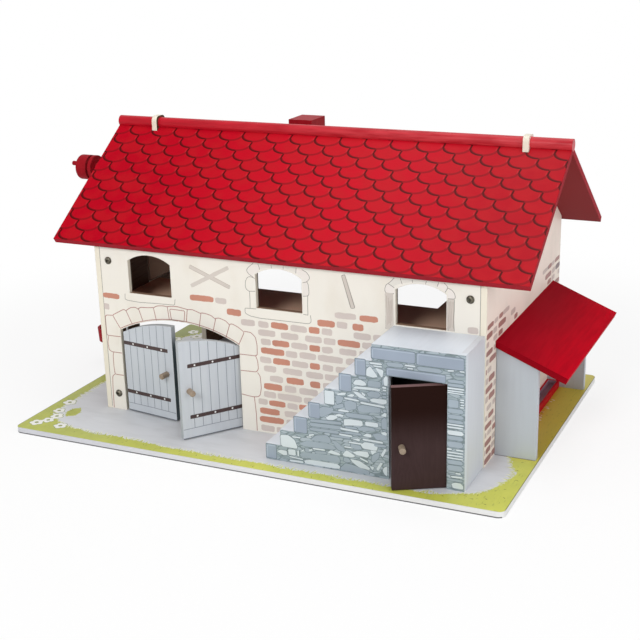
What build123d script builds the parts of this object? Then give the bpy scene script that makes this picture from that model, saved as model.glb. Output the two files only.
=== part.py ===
from build123d import *
from dataclasses import dataclass
from math import cos, radians, sin, sqrt, tan
import os

# Toy barn with opening doors, built of flat boards on a base board: a loft, a front roof panel
# that lifts about a ridge rod, an arched doorway with two leaves, a cellar under the stairs,
# a lean-to on the right gable, and a crank hoist with a bucket on the left gable.
#
# Frame: X along the front, Y to the back, Z up, origin in the middle of the base's underside.
# Lengths are in millimetres and angles in degrees. Heights are given above the deck, which is
# the top of the base board, and places along the front are given from the left gable's face.

# Stock and fits
board = 6.0  # walls, roof panels, floors and leaves
slat = 4.0  # treads and risers
running_fit = 0.06  # radial clearance of what turns in a bore
face_gap = 0.3  # clearance between faces that move past each other
end_gap = 0.5  # spare depth beyond the end of a pin or a screw

# House shell and the ground round it
house_length = 416.8
house_depth = 264.0
left_yard = 59.9
right_yard = 43.3
front_yard = 80.7
back_yard = 11.3
base_corner = 7.0
loft_height = 115.0
knee_wall = 66.2  # loft floor to the eave
roof_pitch = 35.0

# Ridge rod and the gable ears that hold it
rod_diameter = 12.0
rod_rise = 8.5  # rod's axis above the point where the slopes meet
rod_proud = 0.4  # rod's ends beyond the panels
rod_bond = 0.02  # glue line between the rod and the front panel
ear_cheek = 2.8  # ear beside the rod
ear_cap = 1.9  # ear over the rod
ear_corner = 5.5

# Roof panels and chimney
left_overhang = 43.9
right_overhang = 40.5
front_overhang = 4.8
back_overhang = 7.7
panel_split = 1.0  # gap between the two panels under the rod
cove_gap = 0.4  # fixed panel round the turning rod
notch_gap = 0.5  # panels round the ears
chimney_from_left = 152.5
chimney_width = 26.6
chimney_depth = 33.0
chimney_behind_ridge = 15.3
chimney_over_peak = 16.4

# Windows
window_count = 3
window_first = 63.5
window_pitch = 145.2
window_width = 49.5
window_sill = 16.0  # above the loft floor
window_jamb = 34.0
window_rise = 7.6

# Arched doorways of the front wall and the left gable, and the leaves of the front one
arch_from_left = 93.2
arch_width = 139.2
arch_jamb = 89.5
arch_rise = 17.0
kerf = 3.3  # saw gap round a leaf that is cut out of its wall
pivot_inset = 3.0  # pivot axis in from the leaf's edge
floor_gap = 1.0  # under every leaf
left_leaf_angle = 8.3
right_leaf_angle = 52.8
door_peg_height = 51.0

# Loft hatch in the left gable, its sill level with the loft floor
hatch_width = 91.4
hatch_jamb = 73.0
hatch_rise = 9.0
hatch_peg_height = 158.0

# Pivot pins and peg knobs
pin_diameter = 2.0
pin_bite = 4.0  # length in the wall or the base
pin_grip = 9.0  # length in the leaf
peg_diameter = 6.0
peg_proud = 10.0
peg_chamfer = 0.8
peg_from_edge = 9.0
tenon_diameter = 4.0
tenon_length = 4.0

# Loft, posts and what carries them
loft_depth = 100.3
partition_from_left = 332.6
cleat = 8.0
post_width = 17.0
post_depth = 14.0
post_below_eave = 5.2
rail_width = 16.2  # back eave rail, on the back posts
loft_notch_gap = 0.3

# Socket screws through the front wall into insert nuts
bolt_from_ends = 18.1  # above the deck, and below the eave
bolt_inset = 9.6  # from the inside of each gable
bolt_diameter = 4.0
bolt_length = 15.0
bolt_hole_gap = 0.15
bolt_head_diameter = 7.7
bolt_head_height = 2.2
bolt_head_rim = 0.7
socket_flats = 2.5
socket_depth = 1.3
insert_diameter = 6.4
insert_length = 10.0

# Wood screws from under the base into the posts
screw_diameter = 3.5
screw_length = 17.5
screw_head_diameter = 7.0
screw_sink = 0.3
screw_hole_gap = 0.25
recess_width = 0.9
recess_depth = 1.4

# Stairs and cellar
stair_set_in = 1.1  # stair block's side, in from the right gable's face
stair_depth = 54.7
step_count = 8
step_rise = 16.25
step_run = 15.77
landing_length = 88.4
cellar_jamb = 16.8  # panel right of the cellar doorway
cellar_width = 55.5
cellar_height = 101.5
cellar_hinge_gap = 1.6
cellar_free_gap = 4.0
cellar_top_gap = 1.5
cellar_leaf_angle = 28.7
cellar_peg_height = 42.6

# Lean-to and trough
leanto_height = 116.5
leanto_pitch = 22.4
leanto_reach = 69.3
leanto_from_front = 28.3
leanto_length = 209.6
support_inset = 4.7
support_reach = 40.3
trough_width = 13.6
trough_height = 7.5
trough_rim = 2.3
trough_depth = 5.0

# Hoist
hoist_below_peak = 46.2
arm_diameter = 12.0
arm_reach = 81.1
socket_block_side = 24.0
socket_block_length = 20.0
arm_in_block = 18.0
journal_diameter = 8.0
drum_diameter = 27.7
drum_length = 21.0
drum_edge = 2.5
groove_from_face = 5.7
groove_width = 3.0
groove_depth = 4.45
crank_offset_y = -7.0
crank_offset_z = 5.0
crank_diameter = 5.0
crank_proud = 6.4
crank_depth = 8.0
crank_edge = 0.8
washer_diameter = 11.0
washer_thickness = 0.8
drum_screw_diameter = 3.0
drum_screw_length = 14.0
drum_screw_head = 7.0
drum_screw_head_height = 2.5
cord_diameter = 1.2
bucket_rise = 19.4  # bucket's floor above the deck
bucket_height = 15.8
bucket_rim_radius = 16.5
bucket_foot_radius = 15.6
bucket_wall = 2.5
bucket_floor = 3.0
bail_diameter = 1.6
bail_bite = 4.0
knot_radius = 1.7
knot_bore_gap = 0.05

# Places worked out from the sizes
deck = board
base_length = left_yard + house_length + right_yard
base_depth = front_yard + house_depth + back_yard
eave_height = loft_height + knee_wall
left_face = left_yard - base_length / 2
right_face = left_face + house_length
front_face = front_yard - base_depth / 2
back_face = front_face + house_depth
left_inside = left_face + board
right_inside = right_face - board
front_inside = front_face + board
ridge_y = (front_face + back_face) / 2
half_depth = house_depth / 2
slope = tan(radians(roof_pitch))
eave_z = deck + eave_height
peak_z = eave_z + slope * half_depth
rod_radius = rod_diameter / 2
rod_z = peak_z + rod_rise
ear_half = rod_radius + ear_cheek
panel_left = left_face - left_overhang
panel_right = right_face + right_overhang
upright = (Align.CENTER, Align.CENTER, Align.MIN)
corner = (Align.MIN, Align.MIN)


def write(piece, name):
    """Labels a finished piece and writes its file."""
    piece.part.label = name
    export_step(piece.part, f"parts/{name}.step")


def slope_z(reach):
    """Height of the walls' sloping top edges at a distance from the ridge."""
    return peak_z - slope * reach


def arch_radius(width, rise):
    """Radius of a segmental arch from its span and rise."""
    return (width**2 / 4 + rise**2) / (2 * rise)


def arched_opening(width, jamb, rise):
    """Opening with upright jambs under a segmental arch, its sill centred on the origin."""
    half = width / 2
    with BuildSketch() as opening:
        with BuildLine():
            Polyline((-half, jamb), (-half, 0), (half, 0), (half, jamb))
            ThreePointArc((half, jamb), (0, jamb + rise), (-half, jamb))
        make_face()
    return opening.sketch


@dataclass
class Leaf:
    """One leaf on two pivot pins: its axis, its heading at rest, and the opening round it."""

    pivot: tuple  # X and Y of the axis
    heading: float  # direction from the pivot to the free edge
    outward: int  # side of the leaf's plane that faces out
    sill_z: float
    lintel_z: float  # opening's top over the pivot
    top_z: float  # leaf's top over the pivot
    reach: float  # pivot to free edge
    peg_height: float

    def plane(self):
        """Upright plane through the middle of the leaf, its x axis from pivot to free edge."""
        turn = radians(self.heading)
        return Plane(
            origin=(*self.pivot, 0),
            x_dir=(cos(turn), sin(turn), 0),
            z_dir=(sin(turn), -cos(turn), 0),
        )

    def peg_plane(self):
        """Plane on the leaf's outer face where its peg stands, with its normal outward."""
        leaf_plane = self.plane()
        outward = leaf_plane.z_dir * self.outward
        foot = leaf_plane.origin + leaf_plane.x_dir * (self.reach - peg_from_edge)
        foot += outward * (board / 2) + Vector(0, 0, deck + self.peg_height)
        return Plane(origin=foot, x_dir=(0, 0, 1), z_dir=outward)

    def pin_spans(self, spare=0.0):
        """Bottom and top heights of the two pins, or of their bores with spare depth."""
        bottom_pin = (self.sill_z - pin_bite - spare, self.sill_z + floor_gap + pin_grip)
        top_pin = (self.top_z - pin_grip, self.lintel_z + pin_bite + spare)
        return bottom_pin, top_pin


def pair_leaf(pivot, heading, outward, width, jamb, rise, sill_z, peg_height):
    """One leaf of a pair that is sawn out of the wall along an arched line."""
    pivot_offset = width / 2 - kerf - pivot_inset
    outer = arch_radius(width, rise)
    inner = outer - kerf
    centre_z = sill_z + jamb + rise - outer
    return Leaf(
        pivot=pivot,
        heading=heading,
        outward=outward,
        sill_z=sill_z,
        lintel_z=centre_z + sqrt(outer**2 - pivot_offset**2),
        top_z=centre_z + sqrt(inner**2 - pivot_offset**2),
        reach=pivot_offset - kerf / 2,
        peg_height=peg_height,
    )


def pin_bores(leaf, radius, spare=0.0):
    """Cuts a leaf's two pin bores out of the piece that is being built."""
    for low, high in leaf.pin_spans(spare):
        with Locations((*leaf.pivot, low)):
            Cylinder(radius, high - low, align=upright, mode=Mode.SUBTRACT)


# Openings and leaves ------------------------------------------------------------------------

arch_x = left_face + arch_from_left
loft_top = deck + loft_height
wall_middle_y = front_face + board / 2
gable_middle_x = left_face + board / 2
arch_pivot_offset = arch_width / 2 - kerf - pivot_inset
hatch_pivot_offset = hatch_width / 2 - kerf - pivot_inset

stair_right = right_face - stair_set_in
stair_left = stair_right - landing_length - (step_count - 1) * step_run
stair_front = front_face - stair_depth
cellar_right = stair_right - cellar_jamb
cellar_left = cellar_right - cellar_width
cellar_lintel = deck + cellar_height

leaves = {
    "door_left": pair_leaf(
        (arch_x - arch_pivot_offset, wall_middle_y),
        -left_leaf_angle,
        1,
        arch_width,
        arch_jamb,
        arch_rise,
        deck,
        door_peg_height,
    ),
    "door_right": pair_leaf(
        (arch_x + arch_pivot_offset, wall_middle_y),
        180 + right_leaf_angle,
        -1,
        arch_width,
        arch_jamb,
        arch_rise,
        deck,
        door_peg_height,
    ),
    "loft_door_front": pair_leaf(
        (gable_middle_x, ridge_y - hatch_pivot_offset),
        90,
        -1,
        hatch_width,
        hatch_jamb,
        hatch_rise,
        loft_top,
        hatch_peg_height,
    ),
    "loft_door_back": pair_leaf(
        (gable_middle_x, ridge_y + hatch_pivot_offset),
        -90,
        1,
        hatch_width,
        hatch_jamb,
        hatch_rise,
        loft_top,
        hatch_peg_height,
    ),
    "cellar_door": Leaf(
        pivot=(cellar_right - cellar_hinge_gap - pivot_inset, stair_front + board / 2),
        heading=180 + cellar_leaf_angle,
        outward=-1,
        sill_z=deck,
        lintel_z=cellar_lintel,
        top_z=cellar_lintel - cellar_top_gap,
        reach=cellar_width - cellar_hinge_gap - pivot_inset - cellar_free_gap,
        peg_height=cellar_peg_height,
    ),
}
pin_radius = pin_diameter / 2
pin_hole = pin_radius + running_fit

os.makedirs("parts", exist_ok=True)

# Posts and their fasteners ------------------------------------------------------------------

post_x = (left_inside + post_width / 2, right_inside - post_width / 2)
front_post_y = front_inside + post_depth / 2
back_post_y = back_face - post_depth / 2
front_post_height = eave_height - post_below_eave
rail_height = eave_height - rail_width
post_places = [(x, y) for x in post_x for y in (front_post_y, back_post_y)]
screw_radius = screw_diameter / 2
screw_top = screw_sink + screw_length
bolt_planes = [
    Plane(origin=(x, front_face, deck + height), x_dir=(1, 0, 0), z_dir=(0, -1, 0))
    for x in (left_inside + bolt_inset, right_inside - bolt_inset)
    for height in (bolt_from_ends, eave_height - bolt_from_ends)
]
insert_planes = [plane.offset(-board) for plane in bolt_planes]

with BuildPart() as corner_posts:
    for y, height in ((front_post_y, front_post_height), (back_post_y, rail_height)):
        with BuildSketch(Plane.XY.offset(deck)):
            with Locations(*[(x, y) for x in post_x]):
                Rectangle(post_width, post_depth)
        extrude(amount=height)
    with Locations(*insert_planes):
        Hole(insert_diameter / 2, insert_length + end_gap)
    with Locations(*[(x, y, deck) for x, y in post_places]):
        Cylinder(screw_radius, screw_top - deck + end_gap, align=upright, mode=Mode.SUBTRACT)
write(corner_posts, "corner_posts")

with BuildPart() as bolt:
    with BuildSketch(Plane.XZ):
        with BuildLine():
            Polyline(
                (bolt_head_diameter / 2, bolt_head_rim),
                (bolt_head_diameter / 2, 0),
                (bolt_diameter / 2, 0),
                (bolt_diameter / 2, -bolt_length),
                (0, -bolt_length),
                (0, bolt_head_height),
                (socket_flats * 0.75, bolt_head_height),
            )
            RadiusArc(
                (socket_flats * 0.75, bolt_head_height),
                (bolt_head_diameter / 2, bolt_head_rim),
                bolt_head_diameter / 2,
            )
        make_face()
    revolve(axis=Axis.Z)
    with BuildSketch(Plane.XY.offset(bolt_head_height)):
        RegularPolygon(socket_flats / 2, 6, major_radius=False)
    extrude(amount=-socket_depth, mode=Mode.SUBTRACT)

with BuildPart() as wall_bolts:
    with Locations(*bolt_planes):
        add(bolt.part)
write(wall_bolts, "wall_bolts")

with BuildPart() as insert_nuts:
    with Locations(*insert_planes):
        Cylinder(
            insert_diameter / 2,
            insert_length,
            align=(Align.CENTER, Align.CENTER, Align.MAX),
        )
        Hole(bolt_diameter / 2, insert_length)
write(insert_nuts, "insert_nuts")

with BuildPart() as wood_screw:
    with BuildSketch(Plane.XZ):
        head_slope = screw_head_diameter / 2 - screw_radius
        with BuildLine():
            Polyline(
                (0, 0),
                (screw_head_diameter / 2, 0),
                (screw_radius, head_slope),
                (screw_radius, screw_length - screw_diameter),
                (0, screw_length),
                close=True,
            )
        make_face()
    revolve(axis=Axis.Z)
    with BuildSketch(Plane.XY):
        Rectangle(recess_width, screw_diameter)
        Rectangle(screw_diameter, recess_width)
    extrude(amount=recess_depth, mode=Mode.SUBTRACT)

with BuildPart() as base_screws:
    with Locations(*[(x, y, screw_sink) for x, y in post_places]):
        add(wood_screw.part)
write(base_screws, "base_screws")

# Base board ---------------------------------------------------------------------------------

with BuildPart() as base_board:
    with BuildSketch():
        RectangleRounded(base_length, base_depth, base_corner)
    extrude(amount=board)
    for leaf in leaves.values():
        pin_bores(leaf, pin_hole, end_gap)
    with Locations(*[(x, y, screw_sink) for x, y in post_places]):
        Cone(
            screw_head_diameter / 2,
            screw_radius,
            screw_head_diameter / 2 - screw_radius,
            align=upright,
            mode=Mode.SUBTRACT,
        )
    with Locations(*[(x, y, 0) for x, y in post_places]):
        Cylinder(screw_head_diameter / 2, screw_sink, align=upright, mode=Mode.SUBTRACT)
        Cylinder(screw_radius + screw_hole_gap, board, align=upright, mode=Mode.SUBTRACT)
write(base_board, "base_board")

# Walls --------------------------------------------------------------------------------------

with BuildPart() as front_wall:
    with BuildSketch(Plane.YZ.offset(left_inside)):
        with BuildLine():
            Polyline(
                (front_face, deck),
                (front_inside, deck),
                (front_inside, slope_z(half_depth - board)),
                (front_face, eave_z),
                close=True,
            )
        make_face()
    extrude(amount=right_inside - left_inside)
    with BuildSketch(Plane.XZ.offset(-front_face)):
        with Locations((arch_x, deck)):
            add(arched_opening(arch_width, arch_jamb, arch_rise))
        with Locations(
            *[
                (left_face + window_first + number * window_pitch, loft_top + window_sill)
                for number in range(window_count)
            ]
        ):
            add(arched_opening(window_width, window_jamb, window_rise))
    extrude(amount=-board, mode=Mode.SUBTRACT)
    with Locations(*bolt_planes):
        Hole(bolt_diameter / 2 + bolt_hole_gap, board)
    pin_bores(leaves["door_left"], pin_hole, end_gap)
    pin_bores(leaves["door_right"], pin_hole, end_gap)
write(front_wall, "front_wall")


def gable_profile():
    """Gable outline with the ear over the ridge and the rod's bore, drawn in Y and Z."""
    ear_top = rod_z + rod_radius + ear_cap
    with BuildSketch() as profile:
        with BuildLine():
            Polyline(
                (front_face, deck),
                (front_face, eave_z),
                (ridge_y - ear_half, slope_z(ear_half)),
                (ridge_y - ear_half, ear_top),
                (ridge_y + ear_half, ear_top),
                (ridge_y + ear_half, slope_z(ear_half)),
                (back_face, eave_z),
                (back_face, deck),
                close=True,
            )
        make_face()
        fillet(profile.vertices().group_by(Axis.Y)[-1], ear_corner)
        with Locations((ridge_y, rod_z)):
            Circle(rod_radius + running_fit, mode=Mode.SUBTRACT)
    return profile.sketch


hoist_z = peak_z - hoist_below_peak

with BuildPart() as left_gable_wall:
    with BuildSketch(Plane.YZ.offset(left_face)):
        add(gable_profile())
        with Locations((ridge_y, deck)):
            add(arched_opening(arch_width, arch_jamb, arch_rise), mode=Mode.SUBTRACT)
        with Locations((ridge_y, loft_top)):
            add(arched_opening(hatch_width, hatch_jamb, hatch_rise), mode=Mode.SUBTRACT)
        with Locations((ridge_y, hoist_z)):
            Circle(arm_diameter / 2, mode=Mode.SUBTRACT)
    extrude(amount=board)
    pin_bores(leaves["loft_door_front"], pin_hole, end_gap)
    pin_bores(leaves["loft_door_back"], pin_hole, end_gap)
write(left_gable_wall, "left_gable_wall")

with BuildPart() as right_gable_wall:
    with BuildSketch(Plane.YZ.offset(right_inside)):
        add(gable_profile())
    extrude(amount=board)
write(right_gable_wall, "right_gable_wall")

# Leaves, their pegs and pins ----------------------------------------------------------------


def leaf_outline(name):
    """Leaf outline on its own plane: x from the pivot, y the height."""
    leaf = leaves[name]
    foot_z = leaf.sill_z + floor_gap
    with BuildSketch() as outline:
        with BuildLine():
            if name == "cellar_door":
                Polyline((-pivot_inset, leaf.top_z), (leaf.reach, leaf.top_z))
                crown = ((-pivot_inset, leaf.top_z), (leaf.reach, leaf.top_z))
            else:
                span, rise = (
                    (hatch_width, hatch_rise) if "loft" in name else (arch_width, arch_rise)
                )
                radius = arch_radius(span, rise) - kerf
                centre_x = leaf.reach + kerf / 2
                centre_z = leaf.top_z - sqrt(radius**2 - centre_x**2)
                crown = [
                    (x, centre_z + sqrt(radius**2 - (x - centre_x) ** 2))
                    for x in (-pivot_inset, leaf.reach / 2, leaf.reach)
                ]
                ThreePointArc(*crown)
            Polyline(crown[0], (-pivot_inset, foot_z), (leaf.reach, foot_z), crown[-1])
        make_face()
    return outline.sketch


for name, leaf in leaves.items():
    peg_plane = leaf.peg_plane()
    with BuildPart() as door:
        with BuildSketch(leaf.plane()):
            add(leaf_outline(name))
        extrude(amount=board / 2, both=True)
        pin_bores(leaf, pin_radius)
        with Locations(peg_plane):
            Hole(tenon_diameter / 2, tenon_length)
    write(door, name)

    with BuildPart() as peg:
        with BuildSketch(peg_plane):
            Circle(peg_diameter / 2)
        extrude(amount=peg_proud)
        tip = peg.faces().sort_by(Axis(peg_plane.origin, peg_plane.z_dir))[-1]
        chamfer(tip.edges(), peg_chamfer)
        with BuildSketch(peg_plane):
            Circle(tenon_diameter / 2)
        extrude(amount=-tenon_length)
    write(peg, f"{name}_peg")

    with BuildPart() as pins:
        for low, high in leaf.pin_spans():
            with Locations((*leaf.pivot, low)):
                Cylinder(pin_radius, high - low, align=upright)
    write(pins, f"{name}_pins")

# Loft and inner frame -----------------------------------------------------------------------

loft_underside = loft_top - board
partition_left = left_face + partition_from_left
loft_edge_y = front_inside + loft_depth

with BuildPart() as loft_floor:
    with BuildSketch(Plane.XY.offset(loft_underside)):
        with BuildLine():
            Polyline(
                (left_inside, front_inside),
                (right_inside, front_inside),
                (right_inside, back_face),
                (partition_left, back_face),
                (partition_left, loft_edge_y),
                (left_inside, loft_edge_y),
                close=True,
            )
        make_face()
        with Locations(*post_places):
            Rectangle(
                post_width + 2 * loft_notch_gap,
                post_depth + 2 * loft_notch_gap,
                mode=Mode.SUBTRACT,
            )
    extrude(amount=board)
write(loft_floor, "loft_floor")

with BuildPart() as partition_wall:
    with BuildSketch(Plane.XY.offset(deck)):
        with Locations((partition_left, front_inside)):
            Rectangle(board, back_face - front_inside, align=corner)
    extrude(amount=loft_underside - deck)
write(partition_wall, "partition_wall")

post_back_y = front_inside + post_depth
left_cleat_end = ridge_y - arch_width / 2
right_cleat_end = back_face - post_depth
front_cleat_left = arch_x + arch_width / 2 + board

with BuildPart() as loft_cleats:
    with BuildSketch(Plane.XY.offset(loft_underside - cleat)):
        with Locations((left_inside, post_back_y)):
            Rectangle(cleat, left_cleat_end - post_back_y, align=corner)
        with Locations((right_inside - cleat, post_back_y)):
            Rectangle(cleat, right_cleat_end - post_back_y, align=corner)
        with Locations((front_cleat_left, front_inside)):
            Rectangle(partition_left - front_cleat_left, cleat, align=corner)
        with Locations((partition_left + board, front_inside)):
            Rectangle(
                right_inside - post_width - partition_left - board, cleat, align=corner
            )
    extrude(amount=cleat)
write(loft_cleats, "loft_cleats")

with BuildPart() as back_eave_rail:
    with BuildSketch(Plane.YZ.offset(left_inside)):
        with BuildLine():
            Polyline(
                (back_face - board, deck + rail_height),
                (back_face, deck + rail_height),
                (back_face, eave_z),
                (back_face - board, slope_z(half_depth - board)),
                close=True,
            )
        make_face()
    extrude(amount=right_inside - left_inside)
write(back_eave_rail, "back_eave_rail")

# Roof ---------------------------------------------------------------------------------------


def panel_profile(side, overhang, lift, cove_radius):
    """Roof panel's section in Y and Z: side is -1 in front of the ridge and 1 behind it."""
    pitch = radians(roof_pitch)
    eave_reach = half_depth + overhang
    ridge_reach = panel_split / 2
    underside = lift / cos(pitch)
    top = (lift + board) / cos(pitch)
    top_reach = eave_reach + board * sin(pitch)
    with BuildSketch() as profile:
        with BuildLine():
            Polyline(
                (ridge_y + side * ridge_reach, slope_z(ridge_reach) + underside),
                (ridge_y + side * eave_reach, slope_z(eave_reach) + underside),
                (ridge_y + side * top_reach, slope_z(top_reach) + top),
                (ridge_y + side * ridge_reach, slope_z(ridge_reach) + top),
                close=True,
            )
        make_face()
        with Locations((ridge_y, rod_z)):
            Circle(cove_radius, mode=Mode.SUBTRACT)
    return profile.sketch


def ear_notches():
    """Cuts the notches that pass the gables' ears out of the panel that is being built."""
    with Locations((left_face + board / 2, ridge_y, rod_z), (right_face - board / 2, ridge_y, rod_z)):
        Box(
            board + 2 * notch_gap,
            2 * (ear_half + notch_gap),
            2 * (rod_rise + ear_half + board + rod_radius),
            mode=Mode.SUBTRACT,
        )


with BuildPart() as roof_front:
    with BuildSketch(Plane.YZ.offset(panel_left)):
        add(panel_profile(-1, front_overhang, face_gap, rod_radius + rod_bond))
    extrude(amount=panel_right - panel_left)
    ear_notches()
write(roof_front, "roof_front")

with BuildPart() as roof_back:
    with BuildSketch(Plane.YZ.offset(panel_left)):
        add(panel_profile(1, back_overhang, 0, rod_radius + cove_gap))
    extrude(amount=panel_right - panel_left)
    ear_notches()
write(roof_back, "roof_back")

with BuildPart() as ridge_rod:
    with BuildSketch(Plane.YZ.offset(panel_left - rod_proud)):
        with Locations((ridge_y, rod_z)):
            Circle(rod_radius)
    extrude(amount=panel_right - panel_left + 2 * rod_proud)
write(ridge_rod, "ridge_rod")

with BuildPart() as chimney:
    panel_rise = board / cos(radians(roof_pitch))
    chimney_far = chimney_behind_ridge + chimney_depth
    with BuildSketch(Plane.YZ.offset(left_face + chimney_from_left)):
        with BuildLine():
            Polyline(
                (ridge_y + chimney_behind_ridge, slope_z(chimney_behind_ridge) + panel_rise),
                (ridge_y + chimney_behind_ridge, peak_z + chimney_over_peak),
                (ridge_y + chimney_far, peak_z + chimney_over_peak),
                (ridge_y + chimney_far, slope_z(chimney_far) + panel_rise),
                close=True,
            )
        make_face()
    extrude(amount=chimney_width)
write(chimney, "chimney")

# Stairs -------------------------------------------------------------------------------------

step_x = [stair_left + number * step_run for number in range(step_count)]
step_z = [deck + (number + 1) * step_rise for number in range(step_count)]
landing_x = step_x[-1]
landing_z = step_z[-1]
stair_inside = stair_front + board
stair_inner_depth = front_face - stair_inside
side_panel_left = stair_right - board

with BuildPart() as stair_front_panel:
    with BuildSketch(Plane.XZ.offset(-stair_front)):
        with BuildLine():
            profile = [(stair_left, deck)]
            for x, z in zip(step_x, step_z):
                profile += [(x, z), (x + step_run, z)]
            profile[-1] = (stair_right, landing_z)
            profile.append((stair_right, deck))
            Polyline(*profile, close=True)
        make_face()
        with Locations((cellar_left, deck)):
            Rectangle(cellar_width, cellar_height, align=corner, mode=Mode.SUBTRACT)
    extrude(amount=-board)
    pin_bores(leaves["cellar_door"], pin_hole, end_gap)
write(stair_front_panel, "stair_front_panel")

with BuildPart() as stair_side_panel:
    with BuildSketch(Plane.XY.offset(deck)):
        with Locations((side_panel_left, stair_inside)):
            Rectangle(board, stair_inner_depth, align=corner)
    extrude(amount=landing_z - deck)
write(stair_side_panel, "stair_side_panel")

with BuildPart() as stair_treads:
    for x, z in zip(step_x[:-1], step_z[:-1]):
        with BuildSketch(Plane.XY.offset(z - slat)):
            with Locations((x, stair_inside)):
                Rectangle(step_run + slat, stair_inner_depth, align=corner)
        extrude(amount=slat)
write(stair_treads, "stair_treads")

with BuildPart() as stair_risers:
    for x, z in zip(step_x, step_z):
        ceiling = board if x == landing_x else slat
        with BuildSketch(Plane.XY.offset(z - step_rise)):
            with Locations((x, stair_inside)):
                Rectangle(slat, stair_inner_depth, align=corner)
        extrude(amount=step_rise - ceiling)
write(stair_risers, "stair_risers")

with BuildPart() as landing_board:
    with BuildSketch(Plane.XY.offset(landing_z - board)):
        with Locations((landing_x, stair_inside)):
            Rectangle(side_panel_left - landing_x, stair_inner_depth, align=corner)
    extrude(amount=board)
write(landing_board, "landing_board")

# Lean-to ------------------------------------------------------------------------------------

leanto_slope = tan(radians(leanto_pitch))
leanto_z = deck + leanto_height
leanto_front = front_face + leanto_from_front
leanto_underside = leanto_z - board / cos(radians(leanto_pitch))
support_front = leanto_front + support_inset
support_back = leanto_front + leanto_length - support_inset - board

with BuildPart() as leanto_roof:
    with BuildSketch(Plane.XZ.offset(-leanto_front)):
        fall = leanto_slope * leanto_reach
        lip_x = leanto_reach - board * sin(radians(leanto_pitch))
        with BuildLine():
            Polyline(
                (right_face, leanto_z),
                (right_face + leanto_reach, leanto_z - fall),
                (right_face + lip_x, leanto_underside - leanto_slope * lip_x),
                (right_face, leanto_underside),
                close=True,
            )
        make_face()
    extrude(amount=-leanto_length)
write(leanto_roof, "leanto_roof")

with BuildPart() as leanto_supports:
    for y in (support_front, support_back):
        with BuildSketch(Plane.XZ.offset(-y)):
            with BuildLine():
                Polyline(
                    (right_face, deck),
                    (right_face + support_reach, deck),
                    (right_face + support_reach, leanto_underside - leanto_slope * support_reach),
                    (right_face, leanto_underside),
                    close=True,
                )
            make_face()
        extrude(amount=-board)
write(leanto_supports, "leanto_supports")

with BuildPart() as leanto_trough:
    trough_front = support_front + board
    trough_length = support_back - trough_front
    with BuildSketch(Plane.XY.offset(deck)):
        with Locations((right_face, trough_front)):
            Rectangle(trough_width, trough_length, align=corner)
    extrude(amount=trough_height)
    with BuildSketch(Plane.XY.offset(deck + trough_height)):
        with Locations((right_face + trough_rim, trough_front + trough_rim)):
            Rectangle(
                trough_width - 2 * trough_rim,
                trough_length - 2 * trough_rim,
                align=corner,
            )
    extrude(amount=-trough_depth, mode=Mode.SUBTRACT)
write(leanto_trough, "leanto_trough")

# Hoist --------------------------------------------------------------------------------------

arm_radius = arm_diameter / 2
journal_radius = journal_diameter / 2
drum_radius = drum_diameter / 2
shoulder_x = left_face - arm_reach
drum_inner_x = shoulder_x - face_gap
drum_outer_x = drum_inner_x - drum_length
journal_end_x = drum_outer_x - face_gap
groove_x = drum_inner_x - groove_from_face
groove_radius = drum_radius - groove_depth
screw_bore = drum_screw_diameter / 2
hoist_plane = Plane(origin=(0, ridge_y, hoist_z), x_dir=(1, 0, 0), z_dir=(0, -1, 0))
hoist_axis = Axis((0, ridge_y, hoist_z), (1, 0, 0))

with BuildPart() as hoist_socket:
    with BuildSketch(Plane.YZ.offset(left_inside)):
        with Locations((ridge_y, hoist_z)):
            Rectangle(socket_block_side, socket_block_side)
    extrude(amount=socket_block_length)
    with BuildSketch(Plane.YZ.offset(left_inside)):
        with Locations((ridge_y, hoist_z)):
            Circle(arm_radius)
    extrude(amount=arm_in_block, mode=Mode.SUBTRACT)
write(hoist_socket, "hoist_socket")

with BuildPart() as hoist_arm:
    with BuildSketch(hoist_plane):
        with BuildLine():
            Polyline(
                (left_inside + arm_in_block, 0),
                (left_inside + arm_in_block, arm_radius),
                (shoulder_x, arm_radius),
                (shoulder_x, journal_radius),
                (journal_end_x, journal_radius),
                (journal_end_x, screw_bore),
                (journal_end_x + drum_screw_length, screw_bore),
                (journal_end_x + drum_screw_length, 0),
                close=True,
            )
        make_face()
    revolve(axis=hoist_axis)
write(hoist_arm, "hoist_arm")

with BuildPart() as hoist_drum:
    with BuildSketch(hoist_plane) as section:
        with Locations((drum_outer_x, journal_radius + running_fit)):
            Rectangle(drum_length, drum_radius - journal_radius - running_fit, align=corner)
        fillet(section.vertices().group_by(Axis.Y)[-1].sort_by(Axis.X)[0], drum_edge)
        with Locations((groove_x, groove_radius)):
            Rectangle(
                groove_width,
                groove_depth,
                align=(Align.CENTER, Align.MIN),
                mode=Mode.SUBTRACT,
            )
    revolve(axis=hoist_axis)
    with BuildSketch(Plane.YZ.offset(drum_outer_x)):
        with Locations((ridge_y + crank_offset_y, hoist_z + crank_offset_z)):
            Circle(crank_diameter / 2)
    extrude(amount=crank_depth, mode=Mode.SUBTRACT)
write(hoist_drum, "hoist_drum")

with BuildPart() as crank_peg:
    with BuildSketch(Plane.YZ.offset(drum_outer_x - crank_proud)):
        with Locations((ridge_y + crank_offset_y, hoist_z + crank_offset_z)):
            Circle(crank_diameter / 2)
    extrude(amount=crank_proud + crank_depth)
    fillet(crank_peg.faces().sort_by(Axis.X)[0].edges(), crank_edge)
write(crank_peg, "crank_peg")

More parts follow.
